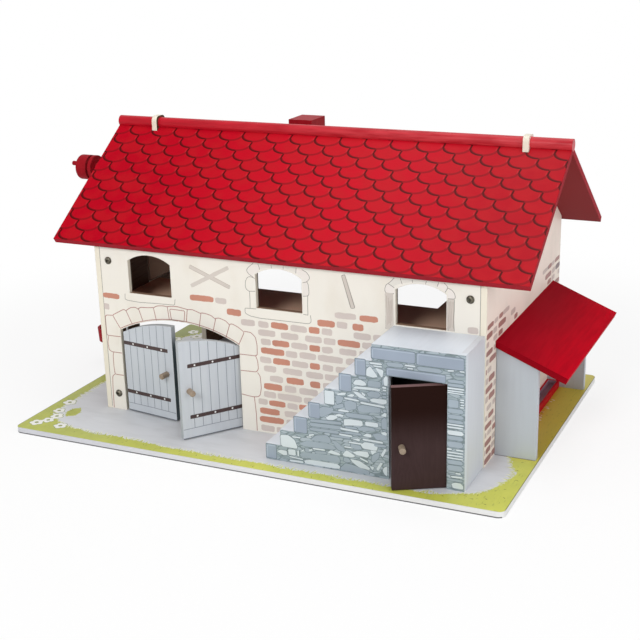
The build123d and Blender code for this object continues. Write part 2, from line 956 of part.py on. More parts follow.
with BuildPart() as drum_screw:
    head_x = journal_end_x - washer_thickness
    with BuildSketch(hoist_plane):
        with Locations((head_x, 0)):
            Rectangle(
                drum_screw_head_height,
                drum_screw_head / 2,
                align=(Align.MAX, Align.MIN),
            )
        with Locations((head_x, 0)):
            Rectangle(washer_thickness + drum_screw_length, screw_bore, align=corner)
    revolve(axis=hoist_axis)
    fillet(drum_screw.faces().sort_by(Axis.X)[0].edges(), drum_screw_head_height / 3)
write(drum_screw, "drum_screw")

with BuildPart() as drum_washer:
    with BuildSketch(hoist_plane):
        with Locations((head_x, screw_bore)):
            Rectangle(washer_thickness, washer_diameter / 2 - screw_bore, align=corner)
    revolve(axis=hoist_axis)
write(drum_washer, "drum_washer")

# Cord on the drum, cord to the bucket, bucket, bail and knot ---------------------------------

cord_radius = cord_diameter / 2
winding_radius = groove_radius + cord_radius
bucket_y = ridge_y + winding_radius
bucket_z = deck + bucket_rise
rim_z = bucket_z + bucket_height
bail_radius = bucket_rim_radius - bucket_wall / 2
bail_wire = bail_diameter / 2
bail_top_z = rim_z + bail_radius
knot_top_z = bail_top_z + knot_radius
winding_clear = cord_diameter + face_gap
cord_top_z = hoist_z - sqrt(winding_radius**2 - (winding_radius - winding_clear) ** 2)

with BuildPart() as cord_winding:
    with BuildSketch(hoist_plane):
        with Locations((groove_x, winding_radius)):
            Circle(cord_radius)
    revolve(axis=hoist_axis)
write(cord_winding, "cord_winding")

with BuildPart() as hoist_cord:
    with Locations((groove_x, bucket_y, knot_top_z)):
        Cylinder(cord_radius, cord_top_z - knot_top_z, align=upright)
write(hoist_cord, "hoist_cord")

bail_plane = Plane(origin=(groove_x, bucket_y, rim_z), x_dir=(0, 1, 0), z_dir=(1, 0, 0))

with BuildPart() as bucket_bail:
    with BuildLine(bail_plane) as bail_path:
        Line((-bail_radius, -bail_bite), (-bail_radius, 0))
        ThreePointArc((-bail_radius, 0), (0, bail_radius), (bail_radius, 0))
        Line((bail_radius, 0), (bail_radius, -bail_bite))
    with BuildSketch(Plane(origin=bail_path.line @ 0, z_dir=bail_path.line % 0)):
        Circle(bail_wire)
    sweep()
write(bucket_bail, "bucket_bail")

with BuildPart() as lift_bucket:
    with BuildSketch(Plane(origin=(groove_x, bucket_y, bucket_z), x_dir=(1, 0, 0), z_dir=(0, -1, 0))):
        with BuildLine():
            Polyline(
                (0, 0),
                (bucket_foot_radius, 0),
                (bucket_rim_radius, bucket_height),
                (bucket_rim_radius - bucket_wall, bucket_height),
                (bucket_foot_radius - bucket_wall, bucket_floor),
                (0, bucket_floor),
                close=True,
            )
        make_face()
    revolve(axis=Axis((groove_x, bucket_y, 0), (0, 0, 1)))
    with Locations(
        (groove_x, bucket_y - bail_radius, rim_z),
        (groove_x, bucket_y + bail_radius, rim_z),
    ):
        Hole(bail_wire, bail_bite)
write(lift_bucket, "lift_bucket")

with BuildPart() as cord_knot:
    with Locations((groove_x, bucket_y, bail_top_z)):
        Sphere(knot_radius)
    with BuildSketch(Plane.XZ.offset(-bucket_y)):
        with Locations((groove_x, bail_top_z)):
            Circle(bail_wire + knot_bore_gap)
    revolve(axis=Axis((groove_x, bucket_y, rim_z), (1, 0, 0)), mode=Mode.SUBTRACT)
write(cord_knot, "cord_knot")
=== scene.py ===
"""Toy barn of printed and painted boards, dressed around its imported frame."""

import math
import random

import bpy
from mathutils import Matrix, Vector
from mathutils.bvhtree import BVHTree


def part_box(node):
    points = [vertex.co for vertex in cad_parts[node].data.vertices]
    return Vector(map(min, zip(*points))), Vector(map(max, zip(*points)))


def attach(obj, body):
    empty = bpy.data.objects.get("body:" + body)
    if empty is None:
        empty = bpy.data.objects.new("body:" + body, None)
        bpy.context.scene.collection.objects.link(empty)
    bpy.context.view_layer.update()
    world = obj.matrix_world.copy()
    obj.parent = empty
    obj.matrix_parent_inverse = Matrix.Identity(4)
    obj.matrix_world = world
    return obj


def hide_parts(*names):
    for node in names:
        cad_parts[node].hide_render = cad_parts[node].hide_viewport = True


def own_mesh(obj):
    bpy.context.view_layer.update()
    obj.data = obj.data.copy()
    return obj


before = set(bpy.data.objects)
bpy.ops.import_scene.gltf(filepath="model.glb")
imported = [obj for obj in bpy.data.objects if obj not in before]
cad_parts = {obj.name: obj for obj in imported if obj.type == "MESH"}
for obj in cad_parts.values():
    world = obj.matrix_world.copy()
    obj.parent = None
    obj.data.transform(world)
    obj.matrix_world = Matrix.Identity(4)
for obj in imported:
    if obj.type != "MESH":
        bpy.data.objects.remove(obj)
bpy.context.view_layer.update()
MM = 0.001

# Camera -------------------------------------------------------------------------------------
# Stands in front of the barn, a little to its right and above its ridge, on a long lens.

azimuth, elevation, roll = (math.radians(angle) for angle in (24.348, 18.876, -1.247))
backward = Vector(
    (
        math.sin(azimuth) * math.cos(elevation),
        -math.cos(azimuth) * math.cos(elevation),
        math.sin(elevation),
    )
)
level = Vector((0, 0, 1)).cross(backward).normalized()
upright = backward.cross(level)
camera_right = math.cos(roll) * level + math.sin(roll) * upright
camera_top = math.cos(roll) * upright - math.sin(roll) * level
camera_data = bpy.data.cameras.new("camera")
camera_data.lens = 69.205
camera_data.sensor_width = 36
camera_data.shift_x = -0.02576
camera_data.shift_y = 0.01884
camera_data.clip_end = 50
camera = bpy.data.objects.new("camera", camera_data)
camera_place = (0.52449, -1.10455, 0.50046)
camera_turn = Matrix((camera_right, camera_top, backward)).transposed().to_4x4()
camera.matrix_world = Matrix.Translation(camera_place) @ camera_turn
bpy.context.scene.collection.objects.link(camera)
bpy.context.scene.camera = camera

# Hoist cord ---------------------------------------------------------------------------------
# Thin three-strand cotton cord that hangs from the drum's groove to the knot on the bucket's bail. On
# the toy it is wound up by the crank; here it hangs at one fixed length.


class Wire:
    """An output of a node. Sums and products of wires add the nodes that work them out."""

    def __init__(self, recipe, socket):
        self.recipe, self.socket = recipe, socket

    def __getitem__(self, label):
        return Wire(self.recipe, self.socket.node.outputs[label])

    def __add__(self, other):
        return self.recipe.math("ADD", self, other)

    def __sub__(self, other):
        return self.recipe.math("SUBTRACT", self, other)

    def __rsub__(self, other):
        return self.recipe.math("SUBTRACT", other, self)

    def __mul__(self, other):
        return self.recipe.math("MULTIPLY", self, other)

    def __truediv__(self, other):
        return self.recipe.math("DIVIDE", self, other)

    __radd__ = __add__

    def above(self, limit):
        return self.recipe.math("GREATER_THAN", self, limit)

    def below(self, limit):
        return self.recipe.math("LESS_THAN", self, limit)

    def step(self, low, high, start=0.0, end=1.0):
        """Eased passage from start to end while this goes from low to high."""
        feeds = {"Value": self, "From Min": low, "From Max": high, "To Min": start, "To Max": end}
        return self.recipe.add("ShaderNodeMapRange", feeds, interpolation_type="SMOOTHSTEP")

    def blend(self, first, second):
        """Colour that passes from the first to the second as this goes from 0 to 1."""
        feeds = {0: self, 6: first, 7: second}
        return self.recipe.add("ShaderNodeMix", feeds, 2, data_type="RGBA")


class Recipe:
    """Adds nodes to one tree. An input takes a number, a colour or a wire."""

    def __init__(self, tree):
        self.tree = tree

    def feed(self, socket, value):
        if isinstance(value, Wire):
            self.tree.links.new(value.socket, socket)
        else:
            socket.default_value = value

    def add(self, kind, feeds=None, out=0, **settings):
        node = self.tree.nodes.new(kind)
        for key, value in settings.items():
            setattr(node, key, value)
        for key, value in (feeds or {}).items():
            self.feed(node.inputs[key], value)
        return Wire(self, node.outputs[out])

    def use(self, group, **feeds):
        """A shared group, as a wire from its first output."""
        feeds = {label.replace("_", " "): value for label, value in feeds.items()}
        return self.add("ShaderNodeGroup", feeds, node_tree=group)

    def math(self, operation, *values):
        return self.add("ShaderNodeMath", dict(enumerate(values)), operation=operation)

    def vector(self, operation, *values, out=0):
        feeds = dict(enumerate(values))
        return self.add("ShaderNodeVectorMath", feeds, out, operation=operation)

    def dot(self, first, second):
        return self.vector("DOT_PRODUCT", first, second, out="Value")

    def axes(self, vector):
        parts = self.add("ShaderNodeSeparateXYZ", {0: vector})
        return parts["X"], parts["Y"], parts["Z"]

    def noise(self, place, scale, detail=2.0, out=0):
        feeds = {"Vector": place, "Scale": scale, "Detail": detail}
        return self.add("ShaderNodeTexNoise", feeds, out)

    def place(self):
        return self.add("ShaderNodeTexCoord", out="Object")

    def facing(self):
        return self.add("ShaderNodeTexCoord", out="Normal")

    def stretched(self, scale, turn=(0, 0, 0)):
        feeds = {"Vector": self.place(), "Rotation": turn, "Scale": scale}
        return self.add("ShaderNodeMapping", feeds)

    def finish(self, colour, roughness, height, depth, normal=None, **constants):
        """Principled surface with its bump, led to the material's output."""
        bump = {"Strength": 1.0, "Distance": depth, "Height": height}
        if normal is not None:
            bump["Normal"] = normal
        feeds = {"Base Color": colour, "Roughness": roughness}
        feeds["Normal"] = self.add("ShaderNodeBump", bump)
        for label, value in constants.items():
            feeds[label.replace("_", " ")] = value
        self.end(self.add("ShaderNodeBsdfPrincipled", feeds), "ShaderNodeOutputMaterial")

    def end(self, surface, kind):
        self.feed(self.tree.nodes.new(kind).inputs["Surface"], surface)


def new_material(name):
    """Empty node material and the recipe that fills it."""
    material = bpy.data.materials.new(name)
    material.use_nodes = True
    material.node_tree.nodes.clear()
    return material, Recipe(material.node_tree)


def tint(red, green, blue):
    """Colour of a paint or ink from its values out of 255 on a screen."""
    shares = (value / 255 for value in (red, green, blue))
    return (*(((s + 0.055) / 1.055) ** 2.4 if s > 0.04 else s / 12.92 for s in shares), 1)


def new_piece(name, mesh, material, body):
    """Object around a finished mesh, riding on its body."""
    piece = bpy.data.objects.new(name, mesh)
    bpy.context.scene.collection.objects.link(piece)
    mesh.materials.append(material)
    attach(piece, body)
    return piece


cord_top = Vector((-287.2, 44.7, 228.16)) * MM
cord_foot = Vector((-287.2, 44.7, 58.16)) * MM
cord_radius = 0.6 * MM
lobe_depth = 0.07 * MM
twist_pitch = 4.2 * MM
cord_sides = 18
cord_rings = 260

route_data = bpy.data.curves.new("cord_route", "CURVE")
route_data.dimensions = "3D"
route_data.resolution_u = 40
route = route_data.splines.new("NURBS")
route.points.add(3)
for index, point in enumerate(route.points):
    point.co = (*cord_top.lerp(cord_foot, index / 3), 1)
route.order_u = 3
route.use_endpoint_u = True
route_object = bpy.data.objects.new("cord_route", route_data)
bpy.context.scene.collection.objects.link(route_object)
bpy.context.view_layer.update()
shown_route = route_object.evaluated_get(bpy.context.evaluated_depsgraph_get())
line = bpy.data.meshes.new_from_object(shown_route)
line_points = [vertex.co.copy() for vertex in line.vertices]
bpy.data.objects.remove(route_object)

cord_verts = []
for ring in range(cord_rings + 1):
    along = ring / cord_rings * (len(line_points) - 1)
    low = min(int(along), len(line_points) - 2)
    centre = line_points[low].lerp(line_points[low + 1], along - low)
    twist = (cord_top.z - centre.z) / twist_pitch * 2 * math.pi
    for side in range(cord_sides):
        turn = 2 * math.pi * side / cord_sides
        radius = cord_radius - lobe_depth * (1 - math.cos(3 * turn))
        away = Vector((math.cos(turn + twist), math.sin(turn + twist), 0))
        cord_verts.append(tuple(centre + away * radius))
cord_faces = []
for ring in range(cord_rings):
    low, high = ring * cord_sides, (ring + 1) * cord_sides
    for side in range(cord_sides):
        after = (side + 1) % cord_sides
        cord_faces.append((low + side, high + side, high + after, low + after))
cord_faces.append(tuple(range(cord_sides)))
cord_faces.append(tuple(reversed(range(cord_rings * cord_sides, len(cord_verts)))))
cord_mesh = bpy.data.meshes.new("hoist_cord_twisted")
cord_mesh.from_pydata(cord_verts, [], cord_faces)
cord_mesh.polygons.foreach_set("use_smooth", [True] * len(cord_mesh.polygons))
cord_mesh.update()

cotton, recipe = new_material("cotton_cord")
fibre = recipe.noise(recipe.stretched((1, 1, 0.25)), 5200, 3)
fuzz = recipe.noise(recipe.place(), 900)
strands = fibre.step(0.3, 0.7).blend(tint(205, 198, 182), tint(242, 238, 226))
recipe.finish(strands, fuzz.step(0.3, 0.7, 0.82, 0.95), fibre, 0.00006, Sheen_Weight=0.25)
cord = new_piece("hoist_cord_twisted", cord_mesh, cotton, "house")
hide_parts("hoist_cord")
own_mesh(cord)

# Base board ---------------------------------------------------------------------------------
# 6 mm board with a printed paper face: a worn grey yard inside a ragged border of grass. Its
# edges are bare white. Small dark blades and white daisies are printed over the grass.


def new_group(name, takes, gives, kind="ShaderNodeTree"):
    """Shared group with named sockets: tree, recipe, the wires it is given and its outlets."""
    tree = bpy.data.node_groups.new(name, kind)
    for way, sockets in (("INPUT", takes), ("OUTPUT", gives)):
        for label, word in sockets.items():
            tree.interface.new_socket(label, in_out=way, socket_type="NodeSocket" + word)
    recipe = Recipe(tree)
    given = {socket.name: Wire(recipe, socket) for socket in tree.nodes.new("NodeGroupInput").outputs}
    return tree, recipe, given, tree.nodes.new("NodeGroupOutput").inputs


# Satin skin of a printed or painted board: broad mottling, fine peel, and uneven gloss.
board_skin, recipe, given, outlets = new_group(
    "board_skin",
    {"Place": "Vector", "Colour": "Color", "Mottle": "Float", "Gloss": "Float"},
    {"Colour": "Color", "Roughness": "Float", "Height": "Float"},
)
broad = recipe.noise(given["Place"], 22, 4)
peel = recipe.noise(given["Place"], 420, 2)
speck = recipe.noise(given["Place"], 1900, 1)
brightness = 1.0 + (broad + speck * 0.35 - 0.675) * given["Mottle"]
mottled = recipe.add("ShaderNodeHueSaturation", {"Value": brightness, "Color": given["Colour"]})
recipe.feed(outlets["Colour"], mottled)
recipe.feed(outlets["Roughness"], given["Gloss"] + (broad - 0.5) * 0.16)
recipe.feed(outlets["Height"], speck * 0.3 + peel)

# Rubbed board edge: 1 along an outer edge, broken up where hands have worn it.
rubbed_edge, recipe, given, outlets = new_group(
    "rubbed_edge",
    {"Place": "Vector", "Patchiness": "Float"},
    {"Edge": "Float", "Normal": "Vector"},
)
worn_radius = 0.7 * MM
rounded = recipe.add("ShaderNodeBevel", {"Radius": worn_radius}, samples=4)
bend = 1.0 - recipe.dot(rounded, recipe.add("ShaderNodeNewGeometry", out="True Normal"))
patch = recipe.noise(given["Place"], 60, 3).step(0.35, 0.62)
recipe.feed(outlets["Edge"], bend.step(0.01, 0.16) * (1.0 - patch * given["Patchiness"]))
recipe.feed(outlets["Normal"], rounded)

# Three finishes of one board by the way that its surface faces: printed face, back and edges.
board_sides, recipe, given, outlets = new_group(
    "board_sides",
    {"Outward": "Vector", "Face": "Color", "Back": "Color", "Edge": "Color"},
    {"Colour": "Color", "On Face": "Float"},
)
squarely = 0.7  # cosine of the widest turn at which a surface still faces a way
turned = recipe.dot(recipe.facing(), given["Outward"])
on_face = turned.above(squarely)
others = turned.below(-squarely).blend(given["Edge"], given["Back"])
recipe.feed(outlets["Colour"], on_face.blend(others, given["Face"]))
recipe.feed(outlets["On Face"], on_face)


def skin(recipe, colour, mottle, gloss, depth=0.00004, wear=None, rounding=True, **constants):
    """Ends a board material: its skin over a colour, and rubbed edges in the wear colour."""
    place = recipe.place()
    surface = recipe.use(board_skin, Place=place, Colour=colour, Mottle=mottle, Gloss=gloss)
    final, normal = surface, None
    if rounding:
        edge = recipe.use(rubbed_edge, Place=place, Patchiness=0.85)
        normal = edge["Normal"]
        if wear is not None:
            final = (edge * 0.55).blend(surface, wear)
    recipe.finish(final, surface["Roughness"], surface["Height"], depth, normal, **constants)


def dress(material, *names):
    """Gives CAD nodes their finish."""
    for name in names:
        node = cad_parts[name]
        if not node.material_slots:
            node.data.materials.append(material)
        for slot in node.material_slots:
            slot.material = material


grass_green = tint(160, 168, 56)
grass_light = tint(214, 216, 96)
# The border of grass, in mm. Its front and back strips are wider at the left, its right-hand
# corners are rounder, and it swells beside the manger.
board_half = Vector((260, 178))
grass_reach = 12.5
strip_widening, wide_until, narrow_from = 4.5, -130, -90
left_rounding, right_rounding = 90, 105
rounding_left, rounding_right = -100, 100
manger_bulge = 26
bulge_front, bulge_back = -110, -30
bulge_left, bulge_right = 180, 210

meadow_print, recipe = new_material("meadow_print")
place = recipe.place()
x, y, z = recipe.axes(place)
from_sides = board_half.x * MM - recipe.math("ABSOLUTE", x)
from_ends = board_half.y * MM - recipe.math("ABSOLUTE", y)
wider = x.step(wide_until * MM, narrow_from * MM, strip_widening * MM, 0.0)
rounding = x.step(
    rounding_left * MM, rounding_right * MM, left_rounding * MM, right_rounding * MM
)
inset = recipe.math("SMOOTH_MIN", from_sides, from_ends - wider, rounding)
bulge = y.step(bulge_front * MM, bulge_back * MM, 0.0, manger_bulge * MM)
inset = inset - bulge * x.step(bulge_left * MM, bulge_right * MM)
wander = (recipe.noise(place, 30, 3) - 0.5) * 0.014
ragged = (recipe.noise(place, 420, 2) - 0.5) * 0.006
on_yard = (inset + (wander + ragged)).step((grass_reach - 1.0) * MM, grass_reach * MM)
# Toward the right the grass is painted lighter, as painted light.
tone = recipe.noise(place, 70, 4) * 0.5 + x.step(-0.22, 0.0) * 0.55
lawn = tone.blend(grass_green, grass_light)
# Beside the manger the grass is painted ochre as a painted reflection of the red lean-to roof.
roof_reflection = y.step(-0.08, -0.05) * x.step(0.215, 0.23)
lawn = (roof_reflection * 0.7).blend(lawn, tint(206, 186, 52))
blades = recipe.noise(recipe.stretched((1, 0.22, 1), (0, 0, 0.5)), 620, 3)
lawn = blades.step(0.60, 0.74, 0, 0.45).blend(lawn, tint(128, 138, 44))
# Behind the barn the grass is painted darker as the barn's painted shadow.
barn_shadow = y.step(0.04, 0.1) * x.step(0.0, 0.15, 1, 0)
lawn = (barn_shadow * 0.75).blend(lawn, tint(120, 130, 56))
scuffs = recipe.noise(recipe.stretched((0.3, 1, 1), (0, 0, -0.6)), 90, 4)
yard = scuffs.step(0.40, 0.70, 0, 0.55).blend(tint(214, 216, 220), tint(200, 202, 205))
top_print = on_yard.blend(lawn, yard)
# The white of the board is painted darker toward its left end as painted shade. A thin burnt line ends
# the print at the sides; at the front it stops short of the edge.
board_white_shaded = x.step(-0.26, 0.2).blend(tint(204, 205, 210), tint(226, 226, 224))
top_print = from_ends.step(0.3 * MM, 0.9 * MM).blend(board_white_shaded, top_print)
top_print = from_sides.step(0.5 * MM, 0.9 * MM).blend(tint(112, 116, 58), top_print)
# The sawn front edge is painted dark along the bottom as a painted contact shadow.
contact_shadow = recipe.axes(recipe.facing())[1].below(-squarely) * z.step(0.9 * MM, 1.4 * MM, 1, 0)
edge = contact_shadow.blend(board_white_shaded, tint(92, 91, 94))
underside = tint(214, 206, 188)
sides = recipe.use(board_sides, Outward=(0, 0, 1), Face=top_print, Back=underside, Edge=edge)
skin(recipe, sides, 0.10, 0.42)
dress(meadow_print, "base_board")

# A coat of ink is sunk a little in its face, and each stands a hair off the next, so that none
# flickers where they cross. Every seventh is level again. In mm.
sink, stagger, level_again = 0.03, 0.004, 7

# Printed patches of one kind: a regular polygon, its corners rounded, stretched and leaned at
# each place, with a hand-cut edge, as a closed coat of ink on the plane z = 0.
stamp_takes = {"Places": "Geometry", "Sides": "Int", "Ink": "Material"}
for label in ("Turn", "Radius", "Corner", "Pitch", "Wobble", "Seed", "Coat"):
    stamp_takes[label] = "Float"
stamp_tree, recipe, given, outlets = new_group(
    "ink_stamps", stamp_takes, {"Print": "Geometry"}, "GeometryNodeTree"
)
outline = recipe.add(
    "GeometryNodeCurvePrimitiveCircle",
    {"Resolution": given["Sides"], "Radius": given["Radius"]},
    mode="RADIUS",
)
turn = recipe.add("ShaderNodeCombineXYZ", {2: given["Turn"]})
outline = recipe.add("GeometryNodeTransform", {"Geometry": outline, "Rotation": turn})
outline = recipe.add(
    "GeometryNodeFilletCurve",
    {"Curve": outline, "Count": 4, "Radius": given["Corner"], "Limit Radius": True},
    mode="POLY",
)
span = recipe.add(
    "GeometryNodeInputNamedAttribute", {"Name": "span"}, data_type="FLOAT_VECTOR"
)
lean = recipe.add("GeometryNodeInputNamedAttribute", {"Name": "lean"}, data_type="FLOAT")
lean = recipe.add("ShaderNodeCombineXYZ", {2: lean})
stamps = recipe.add(
    "GeometryNodeInstanceOnPoints",
    {"Points": given["Places"], "Instance": outline, "Rotation": lean, "Scale": span},
)
stamps = recipe.add("GeometryNodeRealizeInstances", {"Geometry": stamps})
stamps = recipe.add(
    "GeometryNodeResampleCurve", {"Curve": stamps, "Length": given["Pitch"]}, mode="LENGTH"
)
stray = recipe.add(
    "ShaderNodeTexNoise",
    {"W": given["Seed"], "Scale": 260.0, "Detail": 1.0},
    out="Color",
    noise_dimensions="4D",
)
stray = recipe.vector("SUBTRACT", stray, (0.5, 0.5, 0.5))
stray = recipe.vector("MULTIPLY", stray, (1, 1, 0))
reach = {0: stray, "Scale": given["Wobble"]}
stray = recipe.add("ShaderNodeVectorMath", reach, operation="SCALE")
stamps = recipe.add("GeometryNodeSetPosition", {"Geometry": stamps, "Offset": stray})
index = recipe.add("GeometryNodeInputIndex")
faces = recipe.add("GeometryNodeFillCurve", {"Curve": stamps, "Group ID": index}, mode="NGONS")
sunk = recipe.add(
    "GeometryNodeTransform", {"Geometry": faces, "Translation": (0, 0, -sink * MM)}
)
coat = given["Coat"] + recipe.math("MODULO", index, level_again) * (stagger * MM)
raised = recipe.add(
    "GeometryNodeExtrudeMesh", {"Mesh": sunk, "Offset Scale": coat, "Individual": True}, mode="FACES"
)
under = recipe.add("GeometryNodeFlipFaces", {"Mesh": sunk})
joined = recipe.add("GeometryNodeJoinGeometry", {0: raised})
recipe.feed(joined.socket.node.inputs[0], under)
weld = 0.002 * MM
closed = recipe.add("GeometryNodeMergeByDistance", {"Geometry": joined, "Distance": weld})
closed = recipe.add("GeometryNodeRealizeInstances", {"Geometry": closed})
inked = recipe.add("GeometryNodeSetMaterial", {"Geometry": closed, "Material": given["Ink"]})
recipe.feed(outlets["Print"], inked)

BRICK = {"Sides": 4, "Turn": math.pi / 4, "Radius": math.sqrt(0.5), "Corner": 0.22}
BLADE = {"Sides": 3, "Turn": math.pi / 2, "Radius": 0.55, "Corner": 0.02}
DISC = {"Sides": 12, "Turn": 0.0, "Radius": 0.5, "Corner": 0.02}


class Face:
    """A printed face with its own u, v and outward w; origin in mm."""

    def __init__(self, origin, along, up, slot, body="house"):
        along, up = Vector(along), Vector(up)
        turn = Matrix((along, up, along.cross(up))).transposed().to_4x4()
        self.plane = Matrix.Translation(Vector(origin) * MM) @ turn
        self.slot, self.body = slot, body

    def carry(self, name, mesh, ink):
        """Lays a print's mesh on the face."""
        mesh.transform(self.plane)
        mesh.update()
        new_piece(name, mesh, ink, self.body)


def stamp(name, shape, places, face, ink, wobble=0.0, seed=1.0, coat=0.08):
    """Prints one shape at places (u, v, length, height, lean) in mm on a face."""
    carrier_mesh = bpy.data.meshes.new(name + "_places")
    carrier_mesh.from_pydata([(u * MM, v * MM, 0) for u, v, *_ in places], [], [])
    spans = carrier_mesh.attributes.new("span", "FLOAT_VECTOR", "POINT").data
    for index, (_, _, length, height, _) in enumerate(places):
        spans[index].vector = (length * MM, height * MM, MM)
    leans = carrier_mesh.attributes.new("lean", "FLOAT", "POINT").data
    for index, place in enumerate(places):
        leans[index].value = place[4]
    carrier = bpy.data.objects.new(name + "_places", carrier_mesh)
    bpy.context.scene.collection.objects.link(carrier)
    modifier = carrier.modifiers.new("stamps", "NODES")
    modifier.node_group = stamp_tree
    values = {"Pitch": 1.1 * MM, "Wobble": wobble * MM, "Seed": seed, "Coat": coat * MM, "Ink": ink}
    values.update(shape)
    for item in stamp_tree.interface.items_tree:
        if item.in_out == "INPUT" and item.name in values:
            modifier[item.identifier] = values[item.name]
    bpy.context.view_layer.update()
    shown = carrier.evaluated_get(bpy.context.evaluated_depsgraph_get())
    mesh = bpy.data.meshes.new_from_object(shown)
    bpy.data.objects.remove(carrier)
    mesh.name = name
    for label in ("span", "lean"):
        if label in mesh.attributes:
            mesh.attributes.remove(mesh.attributes[label])
    mesh.materials.clear()
    face.carry(name, mesh, ink)


def ink_material(name, colour, mottle=0.16, gloss=0.45):
    """Flat ink of a print, a little uneven."""
    material, recipe = new_material(name)
    skin(recipe, colour, mottle, gloss, rounding=False)
    return material


deck = 6.0
deck_face = Face((0, 0, deck), (1, 0, 0), (0, 1, 0), "printed_ground")
blade_ink, recipe = new_material("grass_blade_ink")
sunny = recipe.axes(recipe.place())[0].step(-0.24, 0.16)
tone = recipe.noise(recipe.place(), 90) * 0.6 + sunny * 0.4
skin(recipe, tone.blend(grass_green, grass_light), 0.2, 0.45, rounding=False)
dark_blade_ink = ink_material("dark_blade_ink", tint(116, 120, 42), 0.3)
pale_blade_ink = ink_material("pale_blade_ink", tint(232, 234, 206), 0.1)
petal_ink = ink_material("petal_ink", tint(240, 240, 234), 0.08)
petal_line_ink = ink_material("petal_line_ink", tint(142, 152, 92), 0.2)


def smooth(value, low, high, start=0.0, end=1.0):
    """Eased blend from start to end as the value passes from low to high."""
    share = min(max((value - low) / (high - low), 0.0), 1.0)
    return start + (end - start) * share * share * (3 - 2 * share)


def grass_depth(spot):
    """How far inside the border of grass a spot lies, in mm, without the ragged edge."""
    side = board_half.x - abs(spot.x)
    wider = smooth(spot.x, wide_until, narrow_from, strip_widening, 0)
    end = board_half.y - abs(spot.y) - wider
    reach = smooth(spot.x, rounding_left, rounding_right, left_rounding, right_rounding)
    overlap = max(reach - abs(side - end), 0) / reach
    bulge = manger_bulge * smooth(spot.y, bulge_front, bulge_back)
    bulge *= smooth(spot.x, bulge_left, bulge_right)
    return min(side, end) - overlap**3 * reach / 6 - bulge


# Blades stand along the inner edge of the grass, found by walking in from the board's edge.
blade_gap, longest_walk = 2.3, 60
rng = random.Random(31)
yard_blades, pale_blades, dark_ticks = [], [], []
for edge_start, edge_end, inward in (
    ((-258, -178), (258, -178), Vector((0, 1))),
    ((260, -176), (260, 176), Vector((-1, 0))),
    ((258, 178), (-258, 178), Vector((0, -1))),
    ((-260, 176), (-260, -176), Vector((1, 0))),
):
    start, end = Vector(edge_start), Vector(edge_end)
    count = int((end - start).length / blade_gap)
    for index in range(count):
        spot = start.lerp(end, (index + rng.random()) / count)
        steps = 0
        while grass_depth(spot) < grass_reach and steps < longest_walk:
            spot, steps = spot + inward, steps + 1
        if steps == longest_walk:
            continue
        swing = math.atan2(inward.y, inward.x) - math.pi / 2 + rng.uniform(-0.55, 0.55)
        tall = rng.uniform(3.5, 7.5)
        if math.sin(index * 0.9) + math.sin(index * 0.37) > 0.8:
            tall *= 1.5
        root = spot + inward * rng.uniform(-2.5, 1.2)
        yard_blades.append((*root, rng.uniform(1.0, 2.0), tall, swing))
        if index % 2:
            pale_blades.append((*(root + inward * 2.2), 1.8, tall, swing + 0.2))
        if index % 9 == 0:
            low = spot - inward * rng.uniform(3, 12)
            dark_ticks.append((*low, 0.9, rng.uniform(3, 4.5), rng.uniform(-1.5, 1.5)))
for x, y in ((238, -158), (226, -162), (252, -150), (253, -112), (240, -168)):
    dark_ticks.append((x, y, 1.0, 4.5, rng.uniform(0.5, 1.5)))
# Pale tufts lie along the manger and beside the foot of its upright.
for index in range(26):
    y, x = rng.uniform(-62, 95), 232 + rng.uniform(0, 3)
    thick, tall = rng.uniform(1.5, 3), rng.uniform(4, 9)
    pale_blades.append((x, y, thick, tall, 1.57 + rng.uniform(-0.7, 0.7)))
stamp("grass_pale_blades", BLADE, pale_blades, deck_face, pale_blade_ink, coat=0.04)
stamp("grass_blades", BLADE, yard_blades, deck_face, blade_ink, coat=0.07)
stamp("grass_ticks", BLADE, dark_ticks, deck_face, dark_blade_ink, coat=0.10)
patch_x, patch_y = -226, -123
stamp("clover_patch", DISC, [(patch_x, patch_y, 14, 22, 0.2)], deck_face, blade_ink, 2.5, 1.0, 0.05)
tuft_blades = []
for index in range(46):
    turn, away = rng.uniform(0, 2 * math.pi), math.sqrt(rng.random())
    spot = (patch_x + 6.5 * away * math.cos(turn), patch_y + 11 * away * math.sin(turn))
    tuft_blades.append((*spot, rng.uniform(1.5, 3), rng.uniform(7, 11), rng.uniform(-1.4, 1.4)))
stamp("clover_tuft", BLADE, tuft_blades, deck_face, blade_ink, coat=0.06)


def flat_coats(name, polygons, face, ink, coat=0.07):
    """Closed thin coats of ink with the outlines (u, v) in mm, each a hair off the next."""
    verts, faces = [], []
    for index, corners in enumerate(polygons):
        corners = [Vector(corner) for corner in corners]
        sides = list(zip(corners, corners[1:] + corners[:1]))
        if sum(a.x * b.y - b.x * a.y for a, b in sides) < 0:
            corners.reverse()
            sides = list(zip(corners, corners[1:] + corners[:1]))
        outline = [a.lerp(b, share) for a, b in sides for share in (0.12, 0.88)]
        start, n = len(verts), len(outline)
        for low in (-sink, coat - sink + index % level_again * stagger):
            verts.extend((p.x * MM, p.y * MM, low * MM) for p in outline)
        faces.append(tuple(start + n + i for i in range(n)))
        faces.append(tuple(start + n - 1 - i for i in range(n)))
        for i in range(n):
            j = (i + 1) % n
            faces.append((start + i, start + j, start + n + j, start + n + i))
    mesh = bpy.data.meshes.new(name)
    mesh.from_pydata(verts, [], faces)
    face.carry(name, mesh, ink)


